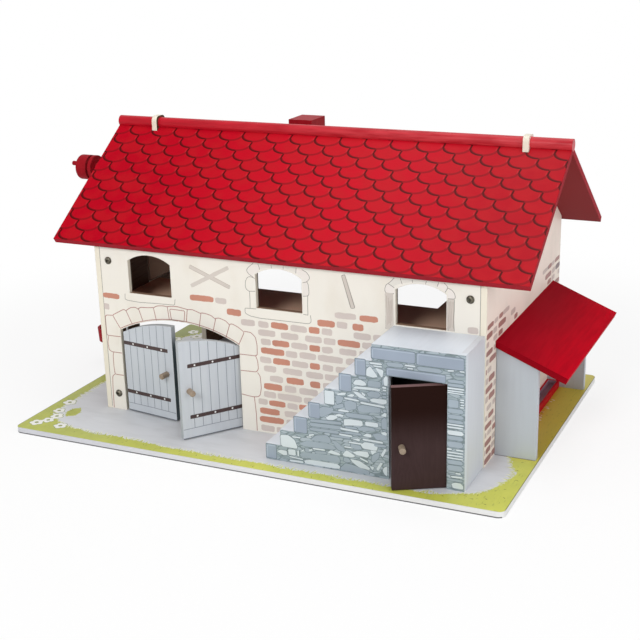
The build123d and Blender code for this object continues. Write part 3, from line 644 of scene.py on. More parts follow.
daisies = [
    (-246.3, -101.5), (-243.2, -125), (-236.2, -138.5), (-238.5, -150.5), (-246, -160),
    (-217.5, -158.5), (-239.7, 150.4), (-226.7, 136), (-246.6, 119.5), (120, 166), (138, 161),
]
rosettes, rims, hearts = [], [], []
for x, y in daisies:
    size, first = rng.uniform(6.4, 7.5), rng.uniform(0, 1)
    for outlines, scale in ((rosettes, 1.0), (rims, 1.12)):
        flower = []
        for index in range(48):
            turn = index * math.pi / 24
            away = size * scale * (0.68 + 0.3 * abs(math.cos(2.5 * turn + first)) ** 0.7)
            flower.append((x + away * math.cos(turn), y + away * math.sin(turn)))
        outlines.append(flower)
    hearts.append((x, y, 0.62 * size, 0.6 * size, 0))
flat_coats("daisy_rims", rims, deck_face, petal_line_ink, 0.08)
flat_coats("daisy_petals", rosettes, deck_face, petal_ink, 0.11)
stamp("daisy_hearts", DISC, hearts, deck_face, petal_line_ink, coat=0.14)


def metal(name, stretch, scale, detail, dark, light, smoothest, roughest, depth):
    """Bare or plated metal with a fine grain in its colour and gloss."""
    material, recipe = new_material(name)
    grain = recipe.noise(recipe.stretched(stretch), scale, detail)
    gloss = grain.step(0.3, 0.7, smoothest, roughest)
    recipe.finish(grain.blend(dark, light), gloss, grain, depth, Metallic=1.0)
    return material


# Countersunk screws that hold the corner posts down through the base, zinc plated.
plate_dark, plate_light = tint(150, 150, 148), tint(205, 206, 208)
zinc = metal("zinc_plate", (1, 1, 1), 700, 3, plate_dark, plate_light, 0.28, 0.42, 0.00003)
dress(zinc, "base_screws")

# Walls --------------------------------------------------------------------------------------
# 6 mm boards, cream print outside and dark brown inside, with cream edges. The long front
# stands between the two gables; posts, rail, partition and loft floor tie them together.

board = 6.0
front_face, back_face = -97.3, 166.7
left_face, right_face = -200.1, 216.7
gable_cream = tint(248, 234, 222)
wall_edge = tint(236, 229, 212)


def wall_print(name, outward, outer_face, painted_round, cream):
    """Cream print with faint plaster stains on the outward face, brown on the inner one."""
    material, recipe = new_material(name)
    stains = recipe.noise(recipe.stretched((1, 1, 0.55)), 30, 4)
    cream = stains.step(0.48, 0.72, 0, 0.5).blend(cream, tint(228, 220, 206))
    grain = recipe.noise(recipe.stretched((1, 1, 14)), 45, 3)
    brown = grain.step(0.4, 0.65).blend(tint(96, 74, 60), tint(84, 62, 50))
    # The inside paint runs over the window sills and a little way round the openings.
    depth_in = recipe.dot(recipe.place(), outward) - outer_face * MM
    paint_end = (painted_round - board) * MM
    reveal = depth_in.step(paint_end - 0.8 * MM, paint_end).blend(tint(70, 52, 43), wall_edge)
    if painted_round:
        sill = depth_in.step(-0.9 * MM, -0.4 * MM).blend(tint(150, 120, 100), wall_edge)
        reveal = recipe.axes(recipe.facing())[2].above(squarely).blend(reveal, sill)
        # Under the landing the wall is painted near black as painted shade, where it shows past the
        # cellar door.
        x, y, z = recipe.axes(recipe.place())
        cellar_painted_shade = x.step(0.125, 0.126) * x.step(0.2092, 0.2095, 1, 0)
        cellar_painted_shade = cellar_painted_shade * z.step(0.1145, 0.115, 1, 0)
        cream = cellar_painted_shade.blend(cream, tint(22, 14, 12))
    sides = recipe.use(board_sides, Outward=outward, Face=cream, Back=brown, Edge=reveal)
    inside_matt = sides["On Face"].step(0.0, 1.0, 1.06, 1.4)
    skin(recipe, sides, 0.06, 0.46, wear=tint(212, 200, 178), IOR=inside_matt)
    return material


front_print = wall_print("front_wall_print", (0, -1, 0), -front_face, 2.0, tint(238, 233, 223))
dress(front_print, "front_wall")
left_print = wall_print("left_gable_print", (-1, 0, 0), -left_face, 0.0, gable_cream)
dress(left_print, "left_gable_wall")
right_print = wall_print("right_gable_print", (1, 0, 0), right_face, 0.0, gable_cream)
dress(right_print, "right_gable_wall")

# Wood grain along one axis: long soft bands and short pores.
wood_grain, recipe, given, outlets = new_group(
    "wood_grain", {"Place": "Vector", "Light": "Color", "Dark": "Color"}, {"Colour": "Color"}
)
warp = recipe.noise(given["Place"], 1.5, 2, out="Color")
rings = recipe.noise(recipe.vector("ADD", given["Place"], warp), 3.0, 4)
bands = recipe.math("PINGPONG", rings * 5.0, 0.5)
pores = recipe.noise(given["Place"], 40, 2).step(0.62, 0.72)
share = bands * 1.1 + pores * 0.25
recipe.feed(outlets["Colour"], share.blend(given["Light"], given["Dark"]))


def wood(name, along, light, dark, gloss=0.5, mottle=0.12, **constants):
    """Stained or bare wood whose grain runs along the small axis of along."""
    material, recipe = new_material(name)
    grain = recipe.use(wood_grain, Place=recipe.stretched(along), Light=light, Dark=dark)
    skin(recipe, grain, mottle, gloss, **constants)
    return material


# The loft floor is painted paler beside the windows, as painted light falling in through them.
brown_board, recipe = new_material("brown_board")
brown_light, brown_dark = tint(178, 140, 116), tint(160, 124, 102)
floor_place = recipe.stretched((8, 60, 60))
grain = recipe.use(wood_grain, Place=floor_place, Light=brown_light, Dark=brown_dark)
window_light = recipe.axes(recipe.place())[1].step(-0.088, 0.02, 1.0, 0.2)
skin(recipe, window_light.blend(grain, tint(252, 214, 186)), 0.12, 0.55, IOR=1.08)
dress(brown_board, "loft_floor", "loft_cleats")
brown_light, brown_dark = tint(92, 68, 55), tint(66, 47, 38)
brown_upright = wood("brown_upright", (60, 60, 8), brown_light, brown_dark, 0.55, IOR=1.08)
dress(brown_upright, "partition_wall", "corner_posts")
cream_rail = wood("cream_rail", (6, 60, 60), wall_edge, tint(224, 214, 194))
dress(cream_rail, "back_eave_rail")

# Socket screws of blackened steel run through the wall into brass nuts in the posts.
bolt_black, recipe = new_material("blackened_steel")
rub = recipe.noise(recipe.place(), 500, 3)
black = rub.step(0.35, 0.7).blend(tint(70, 66, 58), tint(122, 116, 102))
recipe.finish(black, rub.step(0.3, 0.7, 0.34, 0.5), rub, 0.00004, Metallic=0.75)
dress(bolt_black, "wall_bolts")
brass_dark, brass_light = tint(176, 142, 82), tint(218, 188, 122)
brass = metal("turned_brass", (1, 18, 1), 160, 2, brass_dark, brass_light, 0.25, 0.4, 0.00003)
dress(brass, "insert_nuts")

# Print on the front wall --------------------------------------------------------------------
# Brick courses between the big arch and the stairs, in salmon and beige, with loose bricks
# higher up. Positions are along the wall and above the deck.

wall_front = Face((0, front_face, deck), (1, 0, 0), (0, 0, 1), "printed_wall")
brick_red = ink_material("salmon_brick_ink", tint(196, 134, 112), 0.45)
brick_beige = ink_material("beige_brick_ink", tint(208, 195, 188), 0.25)
# Each course: its low and high edge, then its bricks' ends, and 1 for a salmon one.
courses = [
    (130.2, 136.2, [(92.8, 111.3, 1), (67.3, 89.1, 0)]),
    (130.9, 137.0, [(-90.6, -63.8, 1), (-61.9, -49.4, 0), (198.8, 209.0, 0)]),
    (120.6, 127.2, [(48.8, 67.1, 1), (85.4, 96.6, 1), (69.1, 80.0, 0), (-49.4, -33.5, 1)]),
    (122.5, 128.0, [(-194.1, -174.4, 1)]),
    (110.3, 116.8, [(-194.1, -187.9, 0)]),
    (111.8, 118.3, [(-34.1, -18.8, 0), (-15, -3.8, 0), (-1, 17.4, 1), (20, 37.5, 0), (39.6, 51, 1),
        (53.1, 64.1, 0), (86.3, 104, 0), (106.3, 118, 0)]),
    (102.9, 109.4, [(-15.4, 3.4, 0), (9.4, 28.1, 0), (35.4, 53.1, 0), (55, 67.5, 0), (69.6, 92.9, 1),
        (95, 112, 0)]),
    (94.0, 100.4, [(-12.8, -1.9, 0), (-0.3, 18.1, 1), (20.3, 37.8, 0), (39.6, 50.9, 1),
        (53.1, 64.4, 0), (71.3, 89.1, 0), (92, 104, 0)]),
    (84.6, 91.2, [(-13.4, 12.3, 1), (14, 26.3, 0), (28.8, 46.6, 0), (48.4, 74.8, 0), (77.8, 96, 0)]),
    (75.0, 81.4, [(-14.6, -2.1, 0), (-0.3, 18.1, 1), (20.3, 37.9, 0), (39.6, 50.3, 1), (53.1, 64.4, 0),
        (66.9, 84, 0)]),
    (65.9, 72.3, [(-10.6, 2.9, 0), (10.4, 31, 0), (35.3, 53.5, 0), (55.3, 72, 0)]),
    (56.3, 62.9, [(-4.6, 10, 0), (13.8, 32.5, 1), (39.5, 50.1, 1), (53.1, 66, 0)]),
    (47.2, 54.1, [(-11.5, 8.5, 1), (11.3, 24.1, 0), (27.5, 47.5, 0)]),
    (38.2, 44.9, [(-11.9, 1.6, 0), (3.3, 30, 0), (31.9, 48, 0)]),
    (30.0, 36.0, [(-18.5, -8.1, 0), (-6.5, 11.6, 1), (13.8, 25, 0), (26.6, 38, 1)]),
    (20.4, 27.0, [(-17.1, 4.8, 1), (10.4, 26, 0)]),
    (11.5, 17.9, [(-17.9, 9.1, 1), (12, 24, 0)]),
    (2.0, 8.4, [(-16.6, -1.5, 0), (0.6, 14, 0)]),
]
rng = random.Random(5)
tones = {1: [], 0: []}
for low, high, row in courses:
    for left, right, tone in row:
        lean = rng.uniform(-0.02, 0.02)
        middle = (low + high) / 2 + rng.uniform(-0.3, 0.3)
        tones[tone].append(((left + right) / 2, middle, right - left, high - low, lean))
stamp("front_bricks_salmon", BRICK, tones[1], wall_front, brick_red, 1.3, 3.0)
stamp("front_bricks_beige", BRICK, tones[0], wall_front, brick_beige, 1.3, 7.0)

# Drawn outlines: the arch stones and jamb blocks round the big doorway in brown, the stones
# round the windows in grey. Each line is a flat ribbon of ink.


def ribbon(points, width, coat, verts, faces):
    """Adds one closed ribbon along points (u, v) in mm to a mesh's lists."""
    left, right = [], []
    for index, point in enumerate(points):
        before = (point - points[max(index - 1, 0)]).normalized() if index else None
        after = (points[index + 1] - point).normalized() if index < len(points) - 1 else None
        heading = ((before or after) + (after or before)).normalized()
        side = Vector((-heading.y, heading.x))
        bend = max(0.55, side.dot(Vector((-(before or after).y, (before or after).x))))
        left.append(point + side * width / 2 / bend)
        right.append(point - side * width / 2 / bend)
    n = len(points)
    # Starts of the corners: low left, low right, high left, high right.
    a, b, c, d = (len(verts) + row * n for row in range(4))
    for low in (-sink, coat - sink):
        verts.extend((p.x * MM, p.y * MM, low * MM) for p in left + right)
    for i in range(n - 1):
        j = i + 1
        faces.append((c + i, d + i, d + j, c + j))
        faces.append((a + i, a + j, b + j, b + i))
        faces.append((a + i, c + i, c + j, a + j))
        faces.append((b + i, b + j, d + j, d + i))
    faces.append((a, b, d, c))
    faces.append((a + n - 1, c + n - 1, d + n - 1, b + n - 1))


def rounded_path(points, radius):
    """Softens the corners of a drawn line."""
    points = [Vector(point) for point in points]
    path = [points[0]]
    for before, corner, after in zip(points, points[1:], points[2:]):
        reach_in = min(radius, (corner - before).length * 0.4)
        reach_out = min(radius, (corner - after).length * 0.4)
        enter = corner + (before - corner).normalized() * reach_in
        leave = corner + (after - corner).normalized() * reach_out
        path += [enter, enter.lerp(corner, 0.55).lerp(leave.lerp(corner, 0.55), 0.5), leave]
    return path + [points[-1]]


def draw(name, lines, width, face, ink, coat=0.07, soft=1.6):
    """One piece of drawn lines on a face."""
    verts, faces = [], []
    for points in lines:
        ribbon(rounded_path(points, soft), width, coat, verts, faces)
    mesh = bpy.data.meshes.new(name)
    mesh.from_pydata(verts, [], faces)
    face.carry(name, mesh, ink)


brown_line = ink_material("brown_line_ink", tint(176, 128, 118), 0.35)
grey_line = ink_material("grey_line_ink", tint(144, 138, 132), 0.3)
arch_lines = [
    [(-167.8, 111.3), (-161.3, 96.9)],
    [(-152.5, 115.6), (-148.1, 101.9)],
    [(-134.4, 117.9), (-131.9, 104.8)],
    [(-117.9, 121.3), (-116.5, 107.8)],
    [(-94.6, 121), (-96.5, 107.8)],
    [(-79, 118.8), (-81.9, 103.8)],
    [(-62.3, 115.6), (-66.3, 100.6)],
    [(-46.9, 110.6), (-51.9, 96.3)],
    [(-176.3, 90.8), (-184.8, 104.6), (-170.6, 112.5), (-167.8, 111.3)],
    [(-167.8, 111.3), (-162.5, 115), (-156.3, 116.3), (-152.5, 114.4)],
    [(-152.5, 115), (-150, 116.9), (-140, 117.5), (-134.6, 118.4)],
    [(-134.4, 118.1), (-130, 120.6), (-122.5, 121.5), (-117.9, 120.9)],
    [(-117.9, 121.2), (-106.9, 122.5), (-94.8, 120.8)],
    [(-94.6, 120.6), (-88.8, 121.3), (-79, 118.1)],
    [(-79, 118.8), (-75, 119), (-67.5, 117.5), (-62.3, 113.8)],
    [(-62.3, 115), (-58.8, 115.9), (-51.3, 113.8), (-47, 109.8)],
    [(-46.9, 110.6), (-44.4, 111.5), (-37.5, 108.8), (-31, 104.2), (-37.8, 90.4)],
    [(-184.8, 104.4), (-192.5, 103.8), (-194, 102), (-193.9, 82.5), (-192.5, 81.5), (-176.9, 81.9)],
    [(-191.9, 80.8), (-193.4, 73.8), (-192.5, 65.6), (-189.4, 63.8), (-176.9, 63.8)],
    [(-187.1, 63.6), (-188.2, 60), (-188.4, 47.5), (-187.8, 40), (-186.9, 39), (-176.9, 39)],
    [(-188.1, 39), (-191, 36.3), (-191.9, 22.5), (-192.3, 0.6)],
    [(-31.2, 105.2), (-23.8, 105), (-18.8, 100.6), (-17.3, 92.5), (-17.5, 82.5), (-19.4, 81),
     (-37, 80.7)],
    [(-19.4, 80.8), (-17.5, 76.3), (-16.9, 67.5), (-19.4, 64), (-27.5, 63.8), (-37, 63.5)],
    [(-18.1, 63.7), (-15.3, 60), (-14.6, 47.5), (-16.3, 39.4), (-19.4, 37.5), (-25, 36.9), (-37, 38.1)],
    [(-22.9, 36.9), (-21.5, 18.8), (-21.3, 0.6)],
    [(-106, 107.4), (-114, 107.6), (-115.2, 119), (-97.6, 118.8), (-99.2, 107.3), (-105, 107.4)],
]
arch_middle, arch_centre, arch_radius = -106.9, -44.5, 152.4
arch_line = []
for index in range(25):
    turn = math.radians(-27 + 54 * index / 24)
    spot = (arch_middle + arch_radius * math.sin(turn), arch_centre + arch_radius * math.cos(turn))
    arch_line.append(spot)
draw("doorway_stone_lines", arch_lines + [arch_line], 0.8, wall_front, brown_line)
window_lines = [
    [(-167.3, 129.6), (-167.8, 123.8), (-165, 122.8), (-150, 122.1), (-130, 123.1), (-109, 123.6),
     (-108.1, 130)],
    [(-17.6, 176), (-20.6, 173.7), (-23.1, 171.6), (-25.1, 169.1), (-24.9, 167.2), (-23.1, 164.7),
     (-18.2, 161.9)],
    [(-12.6, 176), (-11.4, 172.6), (-11, 170.2)],
    [(-16.6, 160.8), (-19.2, 161.9), (-22.6, 162.2), (-25, 161), (-26.8, 157.7), (-27.5, 152.6),
     (-26.6, 149.2), (-24, 147.2), (-16.6, 148)],
    [(-23, 147.2), (-22.9, 138.4), (-23.2, 130.4)],
    [(1.6, 176), (1.9, 172.9)],
    [(14.5, 176), (14.4, 173.1)],
    [(27.6, 170.3), (28.2, 176)],
    [(34, 174.6), (38.6, 172.9), (41.4, 169.5), (42.1, 167.1), (40.9, 165.2), (38.9, 163.1),
     (34.3, 161.6)],
    [(39, 163), (40.3, 160.8), (40.7, 157.7), (41, 152.8), (40.5, 150.1), (38.5, 148.9), (34.2, 148.4)],
    [(39.5, 149.1), (39.1, 138.9), (39.2, 130)],
    [(34.2, 130.2), (39.2, 130)],
    [(-28.8, 129.4), (-29, 124.4), (-23.8, 122.1), (-12.5, 120.9), (40, 121.3), (42.5, 123.5),
     (41.8, 130)],
    [(-28.7, 129.5), (-22.8, 129.8), (-16.6, 130)],
    [(127.8, 176), (125.2, 173.1), (123.1, 171.1), (121.2, 169.7), (119.6, 168.3), (118.7, 165.8),
     (118.4, 162.8), (119.3, 161.1), (121.7, 160.7), (127.6, 160.8)],
    [(121.7, 169.9), (125.5, 168), (128, 166.2)],
    [(133.9, 176), (135, 172.3), (135.6, 170.9)],
    [(145.4, 176), (145.6, 173.1)],
    [(159.1, 176), (158.3, 173)],
    [(170.9, 176), (169.5, 172)],
    [(175.9, 176), (178.7, 173.8), (179.6, 171.6), (178.1, 169.1), (177, 167.2)],
    [(179.6, 171.6), (183.4, 170.2), (185.8, 167.5), (186.9, 164.1), (186.3, 161.8), (179.6, 161.6)],
    [(120.7, 159.9), (121.1, 154), (119.9, 146.6), (119.1, 138), (119.2, 125.8)],
    [(126.3, 160.3), (125.7, 154.5), (125, 147.2), (125.4, 138.7), (125, 129.5)],
    [(179.7, 160.4), (179.9, 150.9), (180.2, 131)],
    [(186, 161.4), (186, 151.6), (185.4, 142), (186.2, 131)],
    # The two upright lines at the joints between the front and the gables are painted shadow in the
    # seams.
    [(210.5, 183), (210.5, 100), (210.5, 2)],
    [(-194.3, 180), (-194.3, 100), (-194.3, 2)],
    [(78.4, 174.1), (74.8, 173.1), (84, 141.6), (88.4, 142.5), (78.4, 174.1)],
]
mauve_stones = [
    [(-17.6, 175.5), (-20.6, 173.7), (-23.1, 171.6), (-25.1, 169.1), (-24.9, 167.2), (-23.1, 164.7),
     (-19.1, 162.5), (-17, 165.6), (-11.4, 169.6), (-11.4, 172.4), (-12.2, 175)],
    [(28.2, 175.4), (28, 170.6), (31.2, 168.8), (34.3, 166.4), (34.4, 161.8), (38.9, 163.1),
     (42.1, 167.1), (41.4, 169.5), (38.6, 172.9), (34, 174.6)],
    [(34.6, 161.3), (39, 163), (40.3, 160.8), (40.7, 157.7), (41, 152.8), (40.5, 150.1), (34.4, 148.6)],
    [(121.7, 169.9), (119.6, 168.3), (118.7, 165.8), (118.4, 162.8), (119.3, 161.1), (127.6, 160.8),
     (127.8, 166.2), (125.5, 168)],
    [(170.9, 175), (169.9, 172.2), (173.4, 170.6), (177, 167.6), (179.5, 171.4), (178.7, 173.8),
     (176.2, 175.1)],
    [(179.9, 171.2), (179.6, 168), (179.6, 161.9), (186.2, 161.9), (186.8, 164.1), (185.7, 167.5),
     (183.4, 170.1)],
]
# The stones just under the eave are a little greyer as painted shadow from the eave.
shaded_stones = [
    [(-11.6, 175.5), (-10.4, 171), (-4, 172.2), (1.6, 173.2), (1.4, 176)],
    [(2, 176), (2.2, 173.3), (8, 173.6), (14.2, 173.4), (14.3, 176)],
    [(14.8, 176), (14.8, 173.4), (21, 172.8), (27.2, 171), (27.8, 176)],
    [(127.1, 174.6), (123.1, 171.1), (122.4, 169.8), (127.8, 166.8), (128.2, 169), (135.4, 171.4),
     (134.4, 175.5)],
    [(134.7, 176), (135.9, 171.6), (140.8, 172.8), (145.4, 173.4), (145.2, 176)],
    [(145.8, 176), (146, 173.4), (153, 173.8), (158, 173.3), (158.7, 176)],
    [(159.3, 176), (158.7, 173.3), (163.8, 173), (169.2, 172.2), (170.5, 176)],
]
mauve_stone = ink_material("mauve_stone_ink", tint(235, 228, 221), 0.15)
shaded_stone = ink_material("shaded_stone_ink", tint(227, 223, 214), 0.15)
flat_coats("window_mauve_stones", mauve_stones, wall_front, mauve_stone, 0.04)
flat_coats("window_shaded_stones", shaded_stones, wall_front, shaded_stone, 0.04)
draw("window_stone_lines", window_lines, 0.55, wall_front, grey_line)

# Drawn timbers: a pair of crossed planks, a leaning plank and the two jambs of the right-hand
# window, in pale taupe with darker grain strokes.
timber_ink = ink_material("pale_timber_ink", tint(208, 199, 190), 0.3)
timber_grain_ink = ink_material("timber_grain_ink", tint(176, 160, 148), 0.25)
planks = [
    (-67, 157.5, 48.3, 4.0, math.atan2(-17.5, 45)),
    (81.4, 157.8, 33.5, 3.8, math.atan2(-31.3, 9.5)),
]
jambs = [(182.6, 146.3, 6.6, 30.8, 0.0), (122.9, 143.4, 8.2, 35.4, 0.02)]
crossing = [(-67, 157.5, 49, 4.0, math.atan2(23, 43.1))]
beam = {**BRICK, "Corner": 0.06}
stamp("drawn_timbers", beam, planks + jambs, wall_front, timber_ink, 0.8, 2.0, 0.06)
stamp("drawn_crossed_timber", beam, crossing, wall_front, timber_ink, 0.8, 4.0, 0.09)
strokes = []
for u, v, length, height, lean in jambs:
    for index in range(5):
        stroke = []
        for share in (-1, -0.3, 0.3, 1):
            across = u - 2.6 + index * 1.3 + rng.uniform(-0.4, 0.4)
            stroke.append((across, v + share * height / 2 * rng.uniform(0.5, 0.9)))
        strokes.append(stroke)
for u, v, length, height, lean in planks:
    turn = Matrix.Rotation(lean, 2)
    for side in (-0.5, 0.5):
        ends = [Vector((end * length / 2, side * (height - 0.4))) for end in (-0.97, 0, 0.97)]
        strokes.append([turn @ corner + Vector((u, v)) for corner in ends])
draw("timber_grain", strokes, 0.4, wall_front, timber_grain_ink, 0.08)

# Print on the gables ------------------------------------------------------------------------
# Bricks climb the front and back corners of both gables, brown-red beside beige and mauve.

wall_right = Face((right_face, 0, deck), (0, 1, 0), (0, 0, 1), "printed_wall")
wall_left = Face((left_face, 0, deck), (0, -1, 0), (0, 0, 1), "printed_wall")
brick_inks = {
    "red": ink_material("brown_brick_ink", tint(162, 114, 106), 0.6),
    "dark": ink_material("dark_brick_ink", tint(120, 96, 98), 0.5),
    "beige": ink_material("mauve_brick_ink", tint(204, 186, 178), 0.35),
}
# Courses from the ground up: low and high, then each brick's ends from the corner, and 1 for
# a red one.
gable_courses = [
    (2, 8, [(0.3, 21, 1), (22.5, 35, 1)]),
    (11.5, 17, [(0.3, 3, 0), (4.5, 19, 1), (21, 31.5, 0)]),
    (20, 25.5, [(0.3, 20.3, 1), (22.5, 32.5, 0)]),
    (29, 34, [(0.3, 5.5, 0), (8, 21, 0), (23.3, 34, 1)]),
    (37, 42, [(0.3, 20.3, 1), (22.3, 31.5, 0)]),
    (46, 51, [(0.3, 7.5, 0), (10.3, 26.3, 1)]),
    (55, 60, [(4.5, 18.5, 0), (22.5, 31.5, 0)]),
    (64, 70, [(0.3, 8.5, 0), (10.3, 28.3, 1)]),
    (73, 78.5, [(0.3, 21.3, 1), (24.5, 31.5, 0)]),
    (82, 88, [(0.3, 7.5, 0), (9.5, 27.5, 1)]),
    (92, 97, [(0.3, 2.8, 1), (4.8, 16.5, 0)]),
    (100.5, 106, [(0.3, 7.5, 0), (10.3, 30.3, 1)]),
    (109, 114, [(0.3, 19.5, 1), (23, 33, 0)]),
    (118, 123, [(0.3, 8, 0), (21.5, 33.5, 0), (37.5, 50.5, 1), (89.5, 100.5, 1)]),
    (125.5, 131, [(0.3, 18.5, 1), (20.5, 32.5, 0), (36.5, 60.5, 1), (77.5, 92.5, 0)]),
    (134.5, 139, [(2.5, 21.5, 1), (23.5, 35.5, 0), (38.5, 50.5, 1), (50.8, 71.5, 0)]),
]
# At the back corner no brick starts far in, and each course high up has one extra brick.
back_reach, extra_from, corner_gap, extra_length = 60, 90, 3, 13
chance = random.Random(11)
for label, face, flip in (("right", wall_right, 1), ("left", wall_left, -1)):
    tones = {"dark": [], "red": [], "beige": []}
    for from_back in (False, True):
        for low, high, row in gable_courses:
            for start, end, is_red in row:
                if from_back and start > back_reach:
                    continue
                tone = "red" if is_red else "beige"
                if from_back and is_red and chance.random() < 0.6:
                    tone = "dark"
                if from_back and low > extra_from and start < corner_gap:
                    extra_tone = "dark" if chance.random() < 0.5 else "red"
                    spot = flip * (back_face - chance.uniform(41, 44))
                    place = (spot, (low + high) / 2, extra_length, high - low, 0.0)
                    tones[extra_tone].append(place)
                y = (start + end) / 2
                y = back_face - y if from_back else front_face + y
                middle = (low + high) / 2 + chance.uniform(-0.2, 0.2)
                lean = chance.uniform(-0.02, 0.02)
                tones[tone].append((flip * y, middle, end - start, high - low, lean))
    for tone, places in tones.items():
        stamp(f"{label}_gable_bricks_{tone}", BRICK, places, face, brick_inks[tone], 0.8, 6.0)
# Painted shadow darkens the joints where the front upright of the lean-to meets the wall and the
# ground.
seam_shadow_ink = ink_material("joint_shadow_ink", tint(96, 74, 76), 0.3)
seam_y = -64.7
wall_seam_shadow = [(seam_y, 0.3), (seam_y, 60), (seam_y, 116)]
foot_seam_shadow = [(217, seam_y), (236, seam_y), (256.6, seam_y)]
draw("upright_wall_seam", [wall_seam_shadow], 0.7, wall_right, seam_shadow_ink)
draw("upright_foot_seam", [foot_seam_shadow], 0.7, deck_face, seam_shadow_ink)

# Doors --------------------------------------------------------------------------------------
# Two leaves sawn out of the wall along the arch, on steel pins. Each is printed as seven
# upright planks over a plinth board, with two strap hinges; a turned wood peg is the knob. The
# loft hatch in the left gable has two smaller leaves of the same make, brown inside.

door_line = ink_material("plank_line_ink", tint(126, 134, 146), 0.3)
door_shadow = ink_material("door_foot_shadow_ink", tint(96, 102, 112), 0.2)
strap_ink = ink_material("strap_ink", tint(66, 47, 46), 0.5, 0.38)
dot_ink = ink_material("strap_dot_ink", tint(238, 238, 236), 0.05)


def leaf_paint(name, outward, back, edge, shaded_low_edge, back_polish):
    """Blue-grey paint with a faint upright brush grain; a hatch is dull brown inside."""
    material, recipe = new_material(name)
    brush = recipe.noise(recipe.stretched((1, 1, 0.06)), 260, 3)
    paint = brush.step(0.35, 0.7, 0, 0.35).blend(tint(199, 204, 210), tint(186, 192, 200))
    height = recipe.axes(recipe.place())[2]
    upward = recipe.axes(recipe.facing())[2]
    # Edges below the top and not facing up take the low edge colour, which on the left door is painted
    # shade.
    unshaded_edge = recipe.math("MAXIMUM", height.step(0.085, 0.105), upward.above(0.5))
    edge = unshaded_edge.blend(shaded_low_edge, edge)
    sides = recipe.use(board_sides, Outward=outward, Face=paint, Back=back, Edge=edge)
    polish = sides["On Face"].step(0.0, 1.0, back_polish, 1.5)
    skin(recipe, sides, 0.08, 0.40, wear=tint(226, 228, 228), IOR=polish)
    return material


# Each leaf: the spot near its pins that its print is measured from, its heading and outward
# side, its body, the heights of its two straps and its plinth above its foot, how far its
# planks are shifted, its straps' reach and their dots.
wide_dots, even_dots = (0.165, 0.455, 0.752), (0.19, 0.485, 0.772)
strap_width, dot_size, plank_count = 4.0, 2.1, 7
over_roof = Vector((0, 0, 0.4))
leaf_places = {
    "door_left": ((-170.2, -94.3), -8.3, 1, "left_door", 75.2, 21.6, 8.4, 0.018, 0.90, even_dots),
    "door_right": ((-43.6, -94.3), 232.8, -1, "right_door", 76.0, 22.4, 10.2, 0.053, 0.87, wide_dots),
    "loft_door_front": ((-197.1, -8.4), 90, -1, "hatch_front", 57.0, 18.0, 8.0, 0.018, 0.90, even_dots),
    "loft_door_back": ((-197.1, 77.8), -90, 1, "hatch_back", 57.0, 18.0, 8.0, 0.018, 0.90, even_dots),
}
pin_dark, pin_light = tint(160, 160, 160), tint(200, 200, 202)
pin_steel = metal("drawn_steel", (1, 1, 0.05), 900, 2, pin_dark, pin_light, 0.25, 0.38, 0.00002)
peg_wood = wood("peg_beech", (60, 8, 60), tint(160, 142, 122), tint(126, 110, 94), 0.5, 0.1)
for name in (*leaf_places, "cellar_door"):
    dress(peg_wood, name + "_peg")
    dress(pin_steel, name + "_pins")

for name, (start, heading, side, body, *marks) in leaf_places.items():
    strap_high, strap_low, plinth, shift, reach, dot_shares = marks
    start = Vector((*start, 0))
    turn = math.radians(heading)
    along = Vector((math.cos(turn), math.sin(turn), 0)) * side
    normal = along.cross(Vector((0, 0, 1)))
    if name.startswith("loft"):
        paints = tint(176, 146, 126), tint(120, 98, 88), tint(120, 98, 88), 1.04
    else:
        # The left door's dark low edge colour is painted shade on its thickness.
        shaded_low_edge = tint(72, 86, 90) if name == "door_left" else tint(176, 182, 186)
        paints = tint(186, 192, 198), tint(176, 182, 186), shaded_low_edge, 1.5
    dress(leaf_paint(name + "_paint", normal, *paints), name)
    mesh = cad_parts[name].data
    low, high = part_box(name)
    foot = low.z / MM
    face = Face((*(start + normal * board / 2).xy, foot), along, (0, 0, 1), "door_paint", body)
    reaches = [(Vector((v.co.x, v.co.y, 0)) / MM - start).dot(along) for v in mesh.vertices]
    ends = min(reaches), max(reaches)
    hinge, free = ends if side > 0 else reversed(ends)
    polygons = [polygon.vertices for polygon in mesh.polygons]
    tree = BVHTree.FromPolygons([vertex.co for vertex in mesh.vertices], polygons)
    lines = []
    for index in range(1, plank_count):
        u = hinge + (free - hinge) * (index / plank_count - shift)
        spot = (start + along * u) * MM + over_roof
        hit = tree.ray_cast(spot, Vector((0, 0, -1)))[0]
        top = (hit.z / MM if hit else high.z / MM) - foot
        lines.append([(u, plinth), (u + rng.uniform(-0.3, 0.3), top * 0.55), (u, top - 0.5)])
    middle = 0.5 * sum(ends)
    lines.append([(ends[0] + 0.6, plinth), (middle, plinth + 0.2), (ends[1] - 0.6, plinth - 0.1)])
    draw(name + "_plank_lines", lines, 0.6, face, door_line, 0.06, 0.5)
    # A dark line along the foot of each leaf is painted shadow under it.
    foot_shadow_line = [(ends[0] + 0.3, 0.5), (ends[1] - 0.3, 0.5)]
    draw(name + "_foot_line", [foot_shadow_line], 0.8, face, door_shadow, 0.08, 0.5)
    middle = hinge + (free - hinge) * reach / 2
    straps, dots = [], []
    for v in (strap_high, strap_low):
        straps.append((middle, v, reach * (ends[1] - ends[0]), strap_width, 0.0))
        for share in dot_shares:
            dots.append((hinge + (free - hinge) * share, v, dot_size, dot_size, 0.0))
    blunt = {**BRICK, "Corner": 0.02}
    stamp(name + "_straps", blunt, straps, face, strap_ink, 0.35, 5.0, 0.09)
    stamp(name + "_strap_dots", {**DISC, "Sides": 10}, dots, face, dot_ink, coat=0.12)

# Stairs -------------------------------------------------------------------------------------
# Outside stairs of 6 mm board along the front wall. The front panel is printed as rubble: flat
# pale and blue-grey stones in grey-green mortar, with a squared block under every tread.

stair_blue = tint(222, 229, 237)
# Near-black painted shade for the hidden insides of the stairs and panel, in the cellar.
cellar_shade_black = tint(20, 12, 10)


